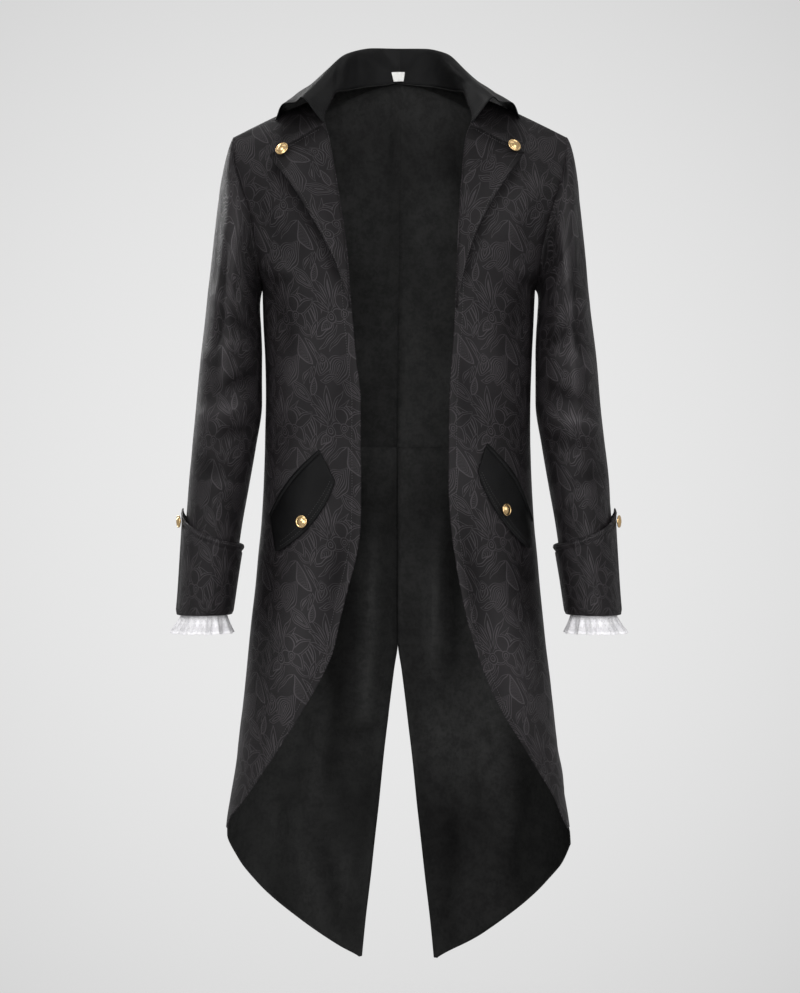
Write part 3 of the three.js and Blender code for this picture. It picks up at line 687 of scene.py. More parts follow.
# The jacquard's repeat, in millimetres, and its figures. Each figure is a leaf or petal
# shape: how it is drawn inside, its place, angle in degrees, half length, half width and
# bend, and for petals in a ring how many there are and how far from the ring's middle.
REPEAT_WIDTH, REPEAT_HEIGHT = 70.0, 146.0
LINE_PITCH = 3.1
FIGURES = [
    # drawing, x, y, angle, half length, half width, bend, then copies and distance if many
    ("nested", 24, 12, -56, 27, 4.6, -0.011),
    ("nested", 33, 26, -64, 22, 2.6, -0.012),
    ("nested", -32, 12, 150, 14, 3.2, 0.014),
    ("nested", -31, 23, 134, 19, 3.6, 0.012),
    ("nested", -27, 32, 117, 23, 3.7, 0.010),
    ("nested", -19, 35, 98, 24, 3.8, 0.005),
    ("nested", -11, 31, 78, 21, 3.6, -0.006),
    ("nested", -4, 24, 60, 16, 3.2, -0.012),
    ("nested", 2, 17, 38, 11, 2.8, -0.014),
    ("double", 10, 50, -42, 22, 9.4, 0.004),
    ("nested", 11, 49, -42, 14, 4.0, 0.004),
    ("ribbed", 31, 56, 74, 11, 4.0, 0.014),
    ("nested", -7, -66, 66, 23, 16.5, -0.012),
    ("nested", -29, -62, 84, 15, 9.6, 0.014),
    ("ringed", -29, -57, 40, 7, 5.4, 0.0),
    ("nested", -22, -80, 20, 10, 5.2, 0.02),
    ("ribbed", 12, -44, -60, 22, 6.6, 0.008),
    ("nested", 26, -40, -62, 17, 3.6, -0.012),
    ("nested", 33, -52, -70, 12, 3.0, -0.014),
    ("nested", 19, -74, -112, 12, 3.8, 0.016),
    ("nested", 29, -75, -96, 11, 3.2, -0.016),
    ("nested", -19, -29, 54, 19, 3.4, 0.012),
    ("nested", -9, -33, 50, 15, 3.0, -0.012),
    ("double", -27, -14, 58, 17, 9.4, -0.010),
    ("ribbed", -23, -12, 58, 9, 4.4, 0.0),
    ("nested", 32, -16, 80, 13, 4.2, 0.014),
    ("double", 18, -14, -54, 15, 9.0, 0.014),
    ("double", 4, 7, 28, 14.5, 10.4, 0.012, 4, 12),
    ("ringed", -18, -3, 0, 6.4, 6.4, 0.0),
    ("ringed", 2, 3, 0, 6.2, 6.2, 0.0),
]
# Slow waves that bend the drawing, as a weaver's hand-drawn chart is never quite regular.
# They repeat with the pattern: turns across and up one repeat, phase, and shift in mm.
BENDS = [(1, 2, 0.4, 2.0, 0.8), (2, -3, 1.9, -0.9, 1.3), (4, 3, 0.0, 0.5, -0.4)]


def jacquard_pattern(s, soft=0.45):
    """Share of woven figure at a point: 1 on its lines, 0 on the ground."""
    base = s.vector("MULTIPLY", s.uv(), (1 / MM, 1 / MM, 0))
    x, y, _ = s.split(base)
    for across, up, phase, shift_x, shift_y in BENDS:
        turn = s.math("MULTIPLY_ADD", x, 2 * math.pi * across / REPEAT_WIDTH, phase)
        turn = s.math("MULTIPLY_ADD", y, 2 * math.pi * up / REPEAT_HEIGHT, turn)
        wave = s.math("SINE", turn)
        shift = s.node("CombineXYZ", *(s.math("MULTIPLY", wave, n) for n in (shift_x, shift_y)))
        base = s.vector("ADD", base, shift.outputs[0])
    woven = None
    half = (REPEAT_WIDTH / 2, REPEAT_HEIGHT / 2, 1.0)
    for drawing, x, y, angle, length, width, bend, *many in FIGURES:
        local = s.vector("SUBTRACT", base, (x, y, 0))
        local = s.vector("WRAP", local, half, tuple(-h for h in half))
        local = s.rotate(local, math.radians(angle))
        px, py, _ = s.split(local)
        if many:
            copies, distance = many
            step = math.pi / copies
            turn = s.math("WRAP", s.math("ARCTAN2", py, px), step, -step)
            reach = s.vector("LENGTH", local)
            px = s.math("SUBTRACT", s.math("MULTIPLY", reach, s.math("COSINE", turn)), distance)
            py = s.math("MULTIPLY", reach, s.math("SINE", turn))
        square = s.math("MULTIPLY", px, px)
        off = s.math("ABSOLUTE", s.math("MULTIPLY_ADD", square, -bend, py)) if bend else \
            s.math("ABSOLUTE", py)
        if drawing == "ringed":
            deep = s.math("SUBTRACT", s.vector("LENGTH", local), width)
        else:
            swell = s.math("MULTIPLY_ADD", square, width / length**2, -width)
            deep = s.math("ADD", off, swell)
        inside = s.math("MULTIPLY_ADD", deep, -1 / soft, 1.0, clamp=True)
        if drawing in ("nested", "ringed", "double"):
            wave = s.math("COSINE", s.math("MULTIPLY", deep, 2 * math.pi / LINE_PITCH))
            line = s.math("MULTIPLY_ADD", wave, 2.2, -0.75, clamp=True)
            if drawing == "double":
                shown = s.math("MULTIPLY_ADD", deep, 1.0, 1.6 * LINE_PITCH, clamp=True)
                line = s.math("MULTIPLY", line, shown)
        else:
            slant = 1.1 if drawing == "ribbed" else 2.2
            across = s.math("MULTIPLY_ADD", off, slant, px)
            pitch = LINE_PITCH * (0.8 if drawing == "ribbed" else 1.5)
            wave = s.math("COSINE", s.math("MULTIPLY", across, 2 * math.pi / pitch))
            rim = s.math("MULTIPLY_ADD", deep, 1.5, 1.9, clamp=True)
            line = s.math("MAXIMUM", s.math("MULTIPLY_ADD", wave, 1.4, -0.5, clamp=True), rim)
        drawn = s.math("MULTIPLY", line, inside)
        if woven is None:
            woven = drawn
        else:
            kept = s.math("MULTIPLY", woven, s.math("SUBTRACT", 1.0, inside))
            woven = s.math("ADD", kept, drawn)
    return woven


def weave(s, pitch, slant=1.0):
    """Fine diagonal rib of a satin or twill weave, in the cloth's own plane."""
    x, y, _ = s.split(s.vector("MULTIPLY", s.uv(), (1 / pitch, 1 / pitch, 0)))
    return s.math("SINE", s.math("MULTIPLY_ADD", y, slant, x))


def jacquard_material(name, ground, figure, contrast, gloss_ground, gloss_figure):
    s = Shader(name)
    woven = s.math("MULTIPLY", jacquard_pattern(s), contrast)
    cloud = s.noise(9, 3, s.place())
    ground_mix = s.blend(s.band(cloud, 0.3, 0.7), tuple(c * 0.82 for c in ground) + (1,),
                         tuple(c * 1.18 for c in ground) + (1,))
    s.napped(s.blend(woven, ground_mix, figure + (1,)), 0.2)
    s.set(Roughness=s.band(woven, 0, 1, gloss_ground, gloss_figure))
    pucker = s.noise(160, 2, s.place())
    s.bump(s.math("MULTIPLY_ADD", weave(s, 0.00019), 0.25, pucker), 0.0006, 0.5)
    return s.material


def reverse_material():
    """The smooth reverse: shadows of the figures stand out faintly, like pressed silk."""
    s = Shader("jacquard_reverse")
    flat = s.vector("MULTIPLY", s.uv(), (1 / REPEAT_WIDTH / MM, 1 / REPEAT_HEIGHT / MM, 0))
    flat = s.vector("MULTIPLY", flat, (1.0, 1.8, 1.0))
    blot = s.noise(4.2, 4, flat, 0.65)
    vein = s.noise(15, 3, flat, 0.6)
    figure = s.band(s.math("MULTIPLY_ADD", vein, 0.7, blot), 0.62, 1.05)
    cloud = s.band(s.noise(5, 2, s.place()), 0.3, 0.7, 0.7, 1.35)
    colour = s.vector("MULTIPLY", s.blend(figure, INSIDE + (1,), INSIDE_FIGURE + (1,)), cloud)
    s.napped(colour, 0.17)
    s.set(Roughness=s.band(figure, 0, 1, 0.58, 0.46))
    pucker = s.noise(120, 2, s.place())
    raised = s.math("MULTIPLY_ADD", figure, 0.8, pucker)
    s.bump(s.math("MULTIPLY_ADD", weave(s, 0.00019), 0.2, raised), 0.0007, 0.5)
    return s.material


def satin_material():
    s = Shader("satin")
    cloud = s.noise(25, 2, s.place())
    s.set(Base_Color=s.blend(s.band(cloud, 0.3, 0.7), (0.0025, 0.0025, 0.0027, 1),
                             (0.0045, 0.0045, 0.0048, 1)))
    s.set(Roughness=s.band(cloud, 0.2, 0.8, 0.36, 0.46))
    s.set(Specular_IOR_Level=0.14)
    s.bump(s.math("MULTIPLY_ADD", weave(s, 0.00015, 3.0), 0.2, s.noise(220, 2, s.place())),
           0.0004, 0.5)
    return s.material


def thread_material():
    s = Shader("thread")
    strand = s.noise(2500, 1, s.place())
    s.set(Base_Color=s.blend(strand, (0.02, 0.019, 0.02, 1), (0.045, 0.042, 0.044, 1)))
    s.set(Roughness=s.band(strand, 0, 1, 0.4, 0.6))
    s.bump(strand, 0.0002, 0.5)
    return s.material


def lace_material():
    s = Shader("lace")
    x, y, _ = s.split(s.vector("MULTIPLY", s.uv(), (1 / MM, 1 / MM, 0)))
    net_x = s.math("SINE", s.math("MULTIPLY_ADD", x, 3.3, s.math("MULTIPLY", y, 1.9)))
    net_y = s.math("SINE", s.math("MULTIPLY_ADD", x, 3.3, s.math("MULTIPLY", y, -1.9)))
    net = s.math("MAXIMUM", s.math("ABSOLUTE", net_x), s.math("ABSOLUTE", net_y))
    petal_x = s.math("WRAP", x, 8.0, -8.0)
    petal_y = s.math("SUBTRACT", y, 34.0)
    turn = s.math("WRAP", s.math("ARCTAN2", petal_y, petal_x), 0.524, -0.524)
    reach = s.math("POWER", s.math("MULTIPLY_ADD", petal_x, petal_x,
                                   s.math("MULTIPLY", petal_y, petal_y)), 0.5)
    bloom = s.band(s.math("MULTIPLY_ADD", s.math("ABSOLUTE", turn), 7.0, reach), 6.4, 7.2, 1, 0)
    border = s.band(y, 44.0, 45.0)
    solid = s.math("MAXIMUM", s.math("MAXIMUM", bloom, border), s.band(net, 0.72, 0.86))
    cloud = s.noise(90, 2, s.place())
    s.set(Base_Color=s.blend(cloud, (0.84, 0.83, 0.87, 1), (0.97, 0.96, 0.97, 1)))
    s.set(Roughness=s.band(cloud, 0, 1, 0.7, 0.9), Sheen_Weight=0.2)
    s.set(Alpha=s.band(solid, 0, 1, 0.55, 1.0))
    s.bump(solid, 0.0005, 0.6)
    return s.material


def brass_material():
    s = Shader("gilt_brass")
    cloud = s.noise(300, 3, s.place())
    s.set(Base_Color=s.blend(cloud, (0.72, 0.47, 0.20, 1), (0.90, 0.66, 0.36, 1)))
    s.set(Metallic=1.0, Roughness=s.band(cloud, 0.2, 0.8, 0.16, 0.3))
    s.bump(s.noise(900, 2, s.place()), 0.00015, 0.4)
    return s.material


def tape_material():
    s = Shader("label_tape")
    rib = weave(s, 0.00016, 0.0)
    s.set(Base_Color=s.blend(s.band(rib, -1, 1), (0.72, 0.72, 0.70, 1), (0.86, 0.86, 0.84, 1)))
    s.set(Roughness=s.band(rib, -1, 1, 0.6, 0.75))
    s.bump(rib, 0.0002, 0.5)
    return s.material


GROUND = (0.0098, 0.0086, 0.0095)
FIGURE = (0.050, 0.045, 0.049)
INSIDE = (0.0072, 0.0073, 0.0072)
INSIDE_FIGURE = (0.0128, 0.0130, 0.0126)
FACE = jacquard_material("jacquard_face", GROUND, FIGURE, 0.85, 0.56, 0.44)
REVERSE = reverse_material()
SATIN = satin_material()
THREAD = thread_material()
LACE = lace_material()
BRASS = brass_material()
TAPE = tape_material()


# ---------------------------------------------------------------- stitches and buttons
def stitches(name, path, out, pitch=3.4, length=2.2, radius=0.32):
    """A row of short raised stitches along a path of points, in millimetres."""
    steps = np.linalg.norm(np.diff(path, axis=0), axis=1)
    run = np.concatenate([[0], np.cumsum(steps)])
    places = np.arange(pitch, run[-1] - pitch, pitch)
    spots = np.stack([np.interp(places, run, path[:, k]) for k in range(3)], 1)
    ups = unit(np.stack([np.interp(places, run, out[:, k]) for k in range(3)], 1))
    ahead = np.stack([np.interp(places + 0.5, run, path[:, k]) for k in range(3)], 1)
    along = unit(ahead - spots)
    beside = unit(np.cross(ups, along))
    ring = [(0, 1), (1, 0.2), (0.6, -0.6), (-0.6, -0.6), (-1, 0.2)]
    vertices, faces = [], []
    for spot, up, forward, aside in zip(spots, ups, along, beside):
        base = len(vertices)
        vertices.append(spot - forward * length / 2 - up * radius * 0.5)
        for share in (-0.25, 0.25):
            for a, b in ring:
                vertices.append(spot + forward * length * share
                                + (aside * a + up * b) * radius)
        vertices.append(spot + forward * length / 2 - up * radius * 0.5)
        for k in range(5):
            n = (k + 1) % 5
            faces.append((base, base + 1 + n, base + 1 + k))
            faces.append((base + 1 + k, base + 1 + n, base + 6 + n, base + 6 + k))
            faces.append((base + 11, base + 6 + k, base + 6 + n))
    piece = new_piece(name, vertices, faces, [THREAD])
    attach(piece, "root")


BUTTON_PROFILE = [
    (0.0, 0.0), (0.28, 0.0), (0.30, 0.05), (0.30, 0.28), (0.80, 0.30), (0.93, 0.34),
    (0.99, 0.43), (1.0, 0.52), (0.97, 0.62), (0.90, 0.68), (0.83, 0.67), (0.78, 0.61),
    (0.72, 0.60), (0.66, 0.68), (0.52, 0.82), (0.36, 0.92), (0.18, 0.98), (0.0, 1.0),
]
BUTTON_AROUND = 64
BUTTON_RISE = 0.36        # height over diameter
BUTTON_STAND = 0.9        # the shank holds the button off its seat
LAPEL_BUTTON, SMALL_BUTTON = 18, 16.5
BEADS = 24


def button(node, seat, out, diameter):
    """Domed button with a rolled, finely beaded rim, turned from its profile."""
    out = Vector(out).normalized()
    radius, rise = diameter / 2, diameter * BUTTON_RISE
    turn = Vector((0, 0, 1)).rotation_difference(out).to_matrix()
    vertices, faces = [], []
    inner = BUTTON_PROFILE[1:-1]
    for r, h in inner:
        for k in range(BUTTON_AROUND):
            angle = 2 * math.pi * k / BUTTON_AROUND
            bead = 0.02 * math.cos(BEADS * angle) if r > 0.85 and h > 0.5 else 0.0
            spot = Vector((r * radius * math.cos(angle), r * radius * math.sin(angle),
                           (h + bead) * rise))
            vertices.append(turn @ spot)
    low, top = len(vertices), len(vertices) + 1
    vertices += [Vector((0, 0, 0)), turn @ Vector((0, 0, rise))]
    for j in range(len(inner) - 1):
        for k in range(BUTTON_AROUND):
            n = (k + 1) % BUTTON_AROUND
            a, b = j * BUTTON_AROUND, (j + 1) * BUTTON_AROUND
            faces.append((a + k, a + n, b + n, b + k))
    last = (len(inner) - 1) * BUTTON_AROUND
    for k in range(BUTTON_AROUND):
        n = (k + 1) % BUTTON_AROUND
        faces.append((low, n, k))
        faces.append((top, last + k, last + n))
    place = Vector(seat) + out * BUTTON_STAND
    piece = new_piece(f"{node}_gilt", [place + v for v in vertices], faces, [BRASS])
    declare(piece, node)


# ---------------------------------------------------------------- fronts
FRONT_FOLDS = {
    # x, z, x, z, width, height: x as seen, negative on the wearer's right
    "right": [
        (-72, -560, -95, -700, 14, -3.0),
        (-120, -610, -150, -820, 18, 3.4),
        (-165, -560, -190, -800, 16, -3.2),
        (-196, -600, -205, -850, 12, 2.4),
        (-110, -300, -150, -400, 16, 1.9),
        (-165, -250, -140, -340, 12, -2.2),
        (-195, -120, -150, -200, 13, -2.0),
        (-180, -215, -120, -250, 11, 1.6),
        (-140, -430, -168, -470, 12, -1.8),
        (-70, -330, -84, -440, 12, -1.6),
    ],
    "left": [
        (85, -560, 104, -700, 14, -3.0),
        (125, -620, 160, -830, 18, 3.4),
        (160, -560, 186, -780, 16, -3.2),
        (196, -620, 204, -840, 12, 2.2),
        (105, -310, 140, -400, 16, 1.9),
        (165, -250, 138, -330, 12, -2.2),
        (195, -120, 152, -205, 13, -2.0),
        (178, -222, 122, -246, 11, 1.6),
        (80, -340, 92, -450, 12, -1.6),
        (196, -850, 216, -905, 7, 3.0),
    ],
}


def front_grid(side, across, along):
    u, v = spread(across, along)
    place = mix(SHOULDER_ROW, FRONT["rows"] - 1, v)
    grid = front_face(side, oriented(side, u), place)
    flat = grid[..., [0, 2]]
    inside_edges = smooth(0, 0.08, oriented(side, u)) * smooth(0, 0.04, v)
    inside_edges = inside_edges * smooth(0, 0.1, 1 - oriented(side, u))
    depth = creased(flat, FRONT_FOLDS[side]) + uneven(flat, 0.55, 1.0 if side == "left" else 4.0)
    depth = depth * inside_edges
    # Painted shadow: a dark band beside the lapel's edge and below the collar's end, over the
    # creases' painted shade and light.
    x = np.abs(grid[..., 0] - at(FRONT, "shift", place))
    beside = np.exp(-(((x - lapel_edge(side, place) - 3) / 9) ** 2))
    beside *= smooth(LAPEL_TOP_ROW, 4.2, place) * (1 - smooth(8.2, LAPEL_END_ROW, place))
    collar_shadow = (1 - smooth(148, 172, x)) * (1 - smooth(2.9, 3.7, place))
    outer, inner = nap_of(depth, CREASE_PAINTED_SHADE["front"])
    outer = outer * (1 - LAPEL_PAINTED_SHADOW * beside) * (1 - COLLAR_PAINTED_SHADOW * collar_shadow)
    return grid + normals(grid, False) * depth[..., None], v, (outer, inner)


def panel_uv(side, grid, low_edge):
    """Cloth coordinates: across from the centre line along the face, and up."""
    across = arc_lengths(grid, 1)
    if SIDES[side] < 0:
        across = across[:, -1:] - across
    return np.stack([SIDES[side] * (across + low_edge), grid[..., 2]], -1)


def build_fronts():
    for side in SIDES:
        grid, v, nap = front_grid(side, 44, 200)
        place = mix(SHOULDER_ROW, FRONT["rows"] - 1, v)
        uv = panel_uv(side, grid, front_edge(side, place[:, :1]))
        sewn("front", side, grid, uv, CLOTH, [FACE, REVERSE], nap=nap)
        edge = 2 if SIDES[side] > 0 else -3
        start = grid.shape[0] * 3 // 10
        out = normals(grid, False)
        stitches(f"front_stitches_{side}", grid[start:-6, edge], out[start:-6, edge])


# ---------------------------------------------------------------- back and tails
BACK_FOLDS = [(60, -60, 130, -150, 18, 1.4), (40, -330, 110, -420, 16, -1.2),
              (150, -200, 110, -330, 16, 1.2)]


def mirrored(folds, sign):
    return [(sign * x0, z0, sign * x1, z1, w, h) for x0, z0, x1, z1, w, h in folds]


SEAM_STEP = 3.0          # the centre seam is pressed to one side and sinks beside it


def centre_step(x, side):
    if side == "left":
        return 0 * x
    return np.exp(-(((x + 6.5) / 3.6) ** 2))


def build_backs():
    for side, sign in SIDES.items():
        u, v = spread(44, 100)
        place = mix(SHOULDER_ROW, WAIST_ROW, v)
        grid = back_face(side, 1 - oriented(side, u), place)
        flat = grid[..., [0, 2]]
        centre = smooth(0, 26, np.abs(grid[..., 0]))
        keep = smooth(0, 0.08, 1 - v) * smooth(0, 0.05, v) * smooth(0, 0.12, oriented(side, u))
        depth = creased(flat, mirrored(BACK_FOLDS, sign)) + uneven(flat, 0.7, 2.0 + sign)
        step = SEAM_STEP * smooth(0.05, 0.3, v) * centre_step(grid[..., 0], side)
        grid = grid + normals(grid, False) * (depth * keep * centre + step)[..., None]
        across = arc_lengths(grid, 1)
        if sign > 0:
            across = across[:, -1:] - across
        edge = np.maximum(at(BACK, "edge", place[:, :1]), SEAM / 2)
        uv = np.stack([sign * (across + edge), grid[..., 2]], -1)
        # Painted shade and light in the creases, and the left back's inside painted lighter lower
        # down.
        outer, inner = nap_of(depth * keep * centre, CREASE_PAINTED_SHADE["back"])
        if side == "left":
            inner = inner * mix(1, 1.35, smooth(180, 340, -grid[..., 2]))
        sewn("back", side, grid, uv, CLOTH, [FACE, REVERSE], rim_kind=1, nap=(outer, inner))


TAIL_FOLDS = {
    "right": [
        (-60, -500, -95, -900, 22, 4.6),
        (-35, -560, -45, -820, 12, -4.0),
        (-130, -620, -170, -980, 20, -4.4),
        (-20, -830, -65, -850, 9, 2.4),
        (-110, -960, -80, -1100, 16, 2.8),
        (-165, -880, -150, -1020, 11, 2.2),
        (-96, -780, -112, -930, 9, -2.4),
    ],
    "left": [
        (72, -520, 66, -760, 13, 4.6),
        (50, -560, 48, -760, 11, -4.2),
        (108, -640, 140, -980, 20, -4.4),
        (112, -830, 128, -872, 8, 3.4),
        (128, -872, 116, -892, 7, 2.2),
        (70, -960, 60, -1110, 16, 3.2),
        (168, -900, 150, -1040, 11, 2.4),
    ],
}
UNDERLAP = 34            # strip of the wearer's right tail that falls back at the vent
UNDERLAP_DEPTH = 11.7


def build_tails():
    for side, sign in SIDES.items():
        u, v = spread(52, 150)
        grid = tail_face(side, 1 - oriented(side, u), v * (TAIL["rows"] - 1))
        flat = grid[..., [0, 2]]
        z = grid[..., 2]
        low = smooth(0, 0.06, v) * smooth(0, 0.08, oriented(side, u))
        depth = creased(flat, TAIL_FOLDS[side]) + uneven(flat, 1.1, 0.5 + sign)
        sunk = SEAM_STEP * (1 - smooth(600, 680, -z)) * centre_step(grid[..., 0], side)
        grid = grid + normals(grid, False) * (depth * low + sunk)[..., None]
        if side == "right":
            strip = 1 - smooth(0, UNDERLAP, np.abs(grid[..., 0]) - at_vent(z))
            grid[..., 1] += UNDERLAP_DEPTH * strip * smooth(-470, -600, z)
        across = arc_lengths(grid, 1)
        if sign > 0:
            across = across[:, -1:] - across
        uv = np.stack([sign * (across + at_vent(z[:, :1])), z], -1)
        # Painted shade and light in the creases; the insides painted lighter in their upper part,
        # and the left tail's inside painted darker low down and towards its side.
        outer, inner = nap_of(depth * low, CREASE_PAINTED_SHADE["tail"])
        inner = inner * mix(1.3, 1, smooth(640, 820, -z))
        if side == "left":
            inner = inner * mix(1, 0.55, smooth(820, 960, -z + 0.5 * (grid[..., 0] - 90)))
        sewn("tail", side, grid, uv, CLOTH, [FACE, REVERSE], rim_kind=1, nap=(outer, inner))


def at_vent(z):
    return np.interp(-z, -TAIL["z"], TAIL["vent"])


# ---------------------------------------------------------------- lapels and collar
LAPEL_GRAIN = 32          # degrees that the lapel's pattern leans, as it is folded over
LAPEL_UV_SHIFT = 31


def build_lapels():
    for side, sign in SIDES.items():
        u, v = spread(26, 90)
        cross = oriented(side, u)
        tip = smooth(0.3, 1, cross) * (1 - smooth(0, 0.45, v))
        roll = np.sqrt(np.clip(1 - (1 - np.clip(cross / 0.12, 0, 1)) ** 2, 0, 1))
        height = LIFT + CLOTH * mix(0.15, 1, roll) + 2.0 * tip + 1.5 * np.sin(np.pi * cross)
        height = height + LAPEL_LIFT * smooth(0.45, 1, cross) * (1 - smooth(0.55, 0.95, v))
        grid, _ = lapel_point(side, cross, v, height)
        flat = grid[..., [0, 2]]
        grid = grid + normals(grid, False) * (uneven(flat, 0.25, 3.0 + sign) * roll)[..., None]
        across = arc_lengths(grid, 1)
        if sign < 0:
            across = across[:, -1:] - across
        lean = math.radians(LAPEL_GRAIN)
        a, b = across, grid[..., 2]
        uv = np.stack([sign * (a * math.cos(lean) - b * math.sin(lean)) + LAPEL_UV_SHIFT,
                       a * math.sin(lean) + b * math.cos(lean)], -1)
        # Painted shade: the lapel darker overall, darker still near its top below the collar, and
        # darker towards its fold than its free edge, the same on both faces.
        painted_values = LAPEL_PAINTED_SHADE * (1 - 0.55 * (1 - smooth(0, 0.11, v))) * mix(0.9, 1.1, cross)
        sewn("lapel", side, grid, uv, CLOTH, [FACE, FACE], nap=(painted_values, painted_values))
        edge = -3 if sign > 0 else 2
        out = normals(grid, False)
        stitches(f"lapel_stitches_{side}", grid[2:-4, edge], out[2:-4, edge])
        stitches(f"gorge_stitches_{side}", grid[2, 2:-2], out[2, 2:-2])
        across, down = LAPEL_BUTTONS[side]
        seat, up = lapel_point(side, np.array([across]), np.array([down]),
                               np.array([LIFT + CLOTH + 2.6 + LAPEL_LIFT]))
        button(f"lapel_button_{side}", seat[0], up[0], LAPEL_BUTTON)


COLLAR_FOLDS = [
    # per cent from the centre back to the wearer's left end, and from the neck to the edge
    (-62, 8, -46, 40, 4, -1.7), (-50, 10, -36, 42, 4, 1.5), (-34, 6, -28, 36, 3.5, -1.5),
    (-26, 34, -8, 8, 3.5, 1.4), (-14, 40, -4, 14, 3.5, -1.3), (8, 8, 22, 38, 4, 1.4),
    (18, 6, 34, 34, 4, -1.5), (40, 10, 52, 42, 4.5, 1.4), (58, 8, 70, 40, 4.5, -1.5),
    (-80, 60, -66, 88, 6, 1.4), (74, 58, 62, 90, 6, 1.5), (-30, 66, -20, 90, 6, -1.2),
]


def build_collar():
    u, v = spread(150, 44)
    grid = collar_point(mix(1, -1, u), v)
    flat = np.stack([arc_lengths(grid, 1), arc_lengths(grid, 0)], -1)
    calm = smooth(0, 0.06, v) * smooth(0, 0.06, 1 - v)
    depth = uneven(flat, 0.5, 7.0) + creased(np.stack([100 * (1 - 2 * u), 100 * v], -1),
                                             COLLAR_FOLDS)
    grid = grid + normals(grid, False) * (depth * calm)[..., None]
    sewn("collar", None, grid, flat + 17, CLOTH, [SATIN, SATIN])
    out = normals(grid, False)
    stitches("collar_stitches", grid[-3, 2:-2], out[-3, 2:-2])
    label_u, label_v = spread(12, 8)
    spots = collar_point(mix(0.062, -0.088, label_u), mix(0.015, 0.105, label_v))
    spots[..., 1] -= 1.6
    sewn("neck_label", None, spots, spots[..., [0, 2]], LABEL_WALL, [TAPE, TAPE])


# ---------------------------------------------------------------- sleeves and cuffs
SLEEVE_FOLDS = [
    # degrees round from the outer side over the front, z, the same, width, height
    (60, -395, 150, -372, 10, -4.6),
    (40, -425, 140, -412, 9, 3.8),
    (70, -452, 160, -440, 10, -3.8),
    (30, -350, 120, -330, 12, 3.2),
    (80, -300, 150, -318, 11, -3.0),
    (25, -262, 110, -288, 13, 2.4),
    (100, -140, 130, -230, 14, -3.2),
    (60, -110, 85, -240, 14, 2.8),
    (95, -250, 70, -330, 12, -2.4),
    (35, -150, 45, -250, 10, -1.8),
    (210, -390, 320, -400, 12, -3.8),
    (230, -430, 330, -436, 12, 3.2),
    (240, -150, 225, -250, 15, -3.2),
    (280, -120, 270, -260, 16, 2.4),
    (20, -480, 110, -500, 12, -2.4),
    (80, -512, 150, -524, 9, 2.2),
    (200, -300, 250, -340, 14, 2.8),
    (86, -170, 80, -400, 8, 3.6),
    (70, -180, 62, -380, 7, -2.2),
]


SLEEVE_AROUND = 345.0     # the pattern's width round a sleeve or cuff
LACE_AROUND, LACE_DEEP = 416, 47


def build_sleeves():
    for side, sign in SIDES.items():
        u, v = spread(96, 170, ring=True)
        turn = oriented(side, 1 - u)
        grid = sleeve_face(side, turn, v * (SLEEVE["rows"] - 1))
        degrees = 360 * (turn - np.floor(turn))
        flat = np.stack([degrees, grid[..., 2] + (7 * sign)], -1)
        calm = smooth(0, 0.07, v) * (1 - smooth(0.72, 0.82, v))
        beside = 1 - 0.75 * smooth(0.62, 1.0, -np.cos(2 * np.pi * turn))
        depth = creased(flat, SLEEVE_FOLDS) + uneven(flat, 0.9, 2.0 + 2 * sign)
        grid = grid + normals(grid, True) * (depth * calm * beside)[..., None]
        along = arc_lengths(grid, 0).mean(1, keepdims=True) + 0 * u
        uv = np.stack([u * SLEEVE_AROUND, -along + 23], -1)
        # Painted shade in the creases' troughs and painted light on their ridges, outside and
        # inside.
        sewn("sleeve", side, grid, uv, CLOTH, [FACE, REVERSE], ring=True,
             nap=nap_of(depth * calm * beside, CREASE_PAINTED_SHADE["sleeve"]))


def cuff_grid(side, across, along):
    u, v = spread(across, along, ring=True)
    turn = oriented(side, 1 - u)
    z = mix(cuff_top(turn), CUFF_BOTTOM, v)
    grow = CUFF_STAND + CUFF_FLARE * (1 - v) ** 2
    bottom = smooth(0.93, 1, v)
    grid = sleeve_at_height(side, turn, z, grow - 1.4 * bottom**2)
    return grid, u, v, turn


def build_cuffs():
    for side, sign in SIDES.items():
        grid, u, v, turn = cuff_grid(side, 120, 70)
        flat = np.stack([360 * turn, grid[..., 2]], -1)
        depth = uneven(flat, 0.35, 5.0 + sign) * smooth(0, 0.2, 1 - v)
        down = cuff_top(turn) - grid[..., 2]
        wander = 0.7 * np.sin(9 * turn * 2 * np.pi + 3) + 0.5 * np.sin(23 * turn * 2 * np.pi)
        depth += 1.1 * np.exp(-(((down - 3.4) / 2.6) ** 2)) * (1 + 0.35 * wander)
        depth -= 1.5 * np.exp(-(((down - 8.2 - wander) / 1.5) ** 2))
        slit = -1.3 * np.exp(-((360 * np.minimum(np.abs(turn - 0.06), 1) / 3.0) ** 2))
        grid = grid + normals(grid, True) * (depth + slit * smooth(0.1, 0.4, v))[..., None]
        uv = np.stack([u * SLEEVE_AROUND, grid[..., 2] + 61], -1)
        sewn("cuff", side, grid, uv, CLOTH + 0.3, [FACE, FACE], ring=True)
        out = normals(grid, True)
        loop = np.concatenate([grid[2], grid[2, :1]])
        stitches(f"cuff_stitches_{side}", loop, np.concatenate([out[2], out[2, :1]]))
        seat = sleeve_at_height(side, np.array([CUFF_BUTTON_TURN]),
                                np.array([CUFF_TOP_OUTER - CUFF_BUTTON_DROP]),
                                np.array([CUFF_STAND + CUFF_FLARE + 0.4]))
        button(f"cuff_button_{side}", seat[0], (sign * 0.94, -0.34, 0), SMALL_BUTTON)


LACE_WAVES = 11


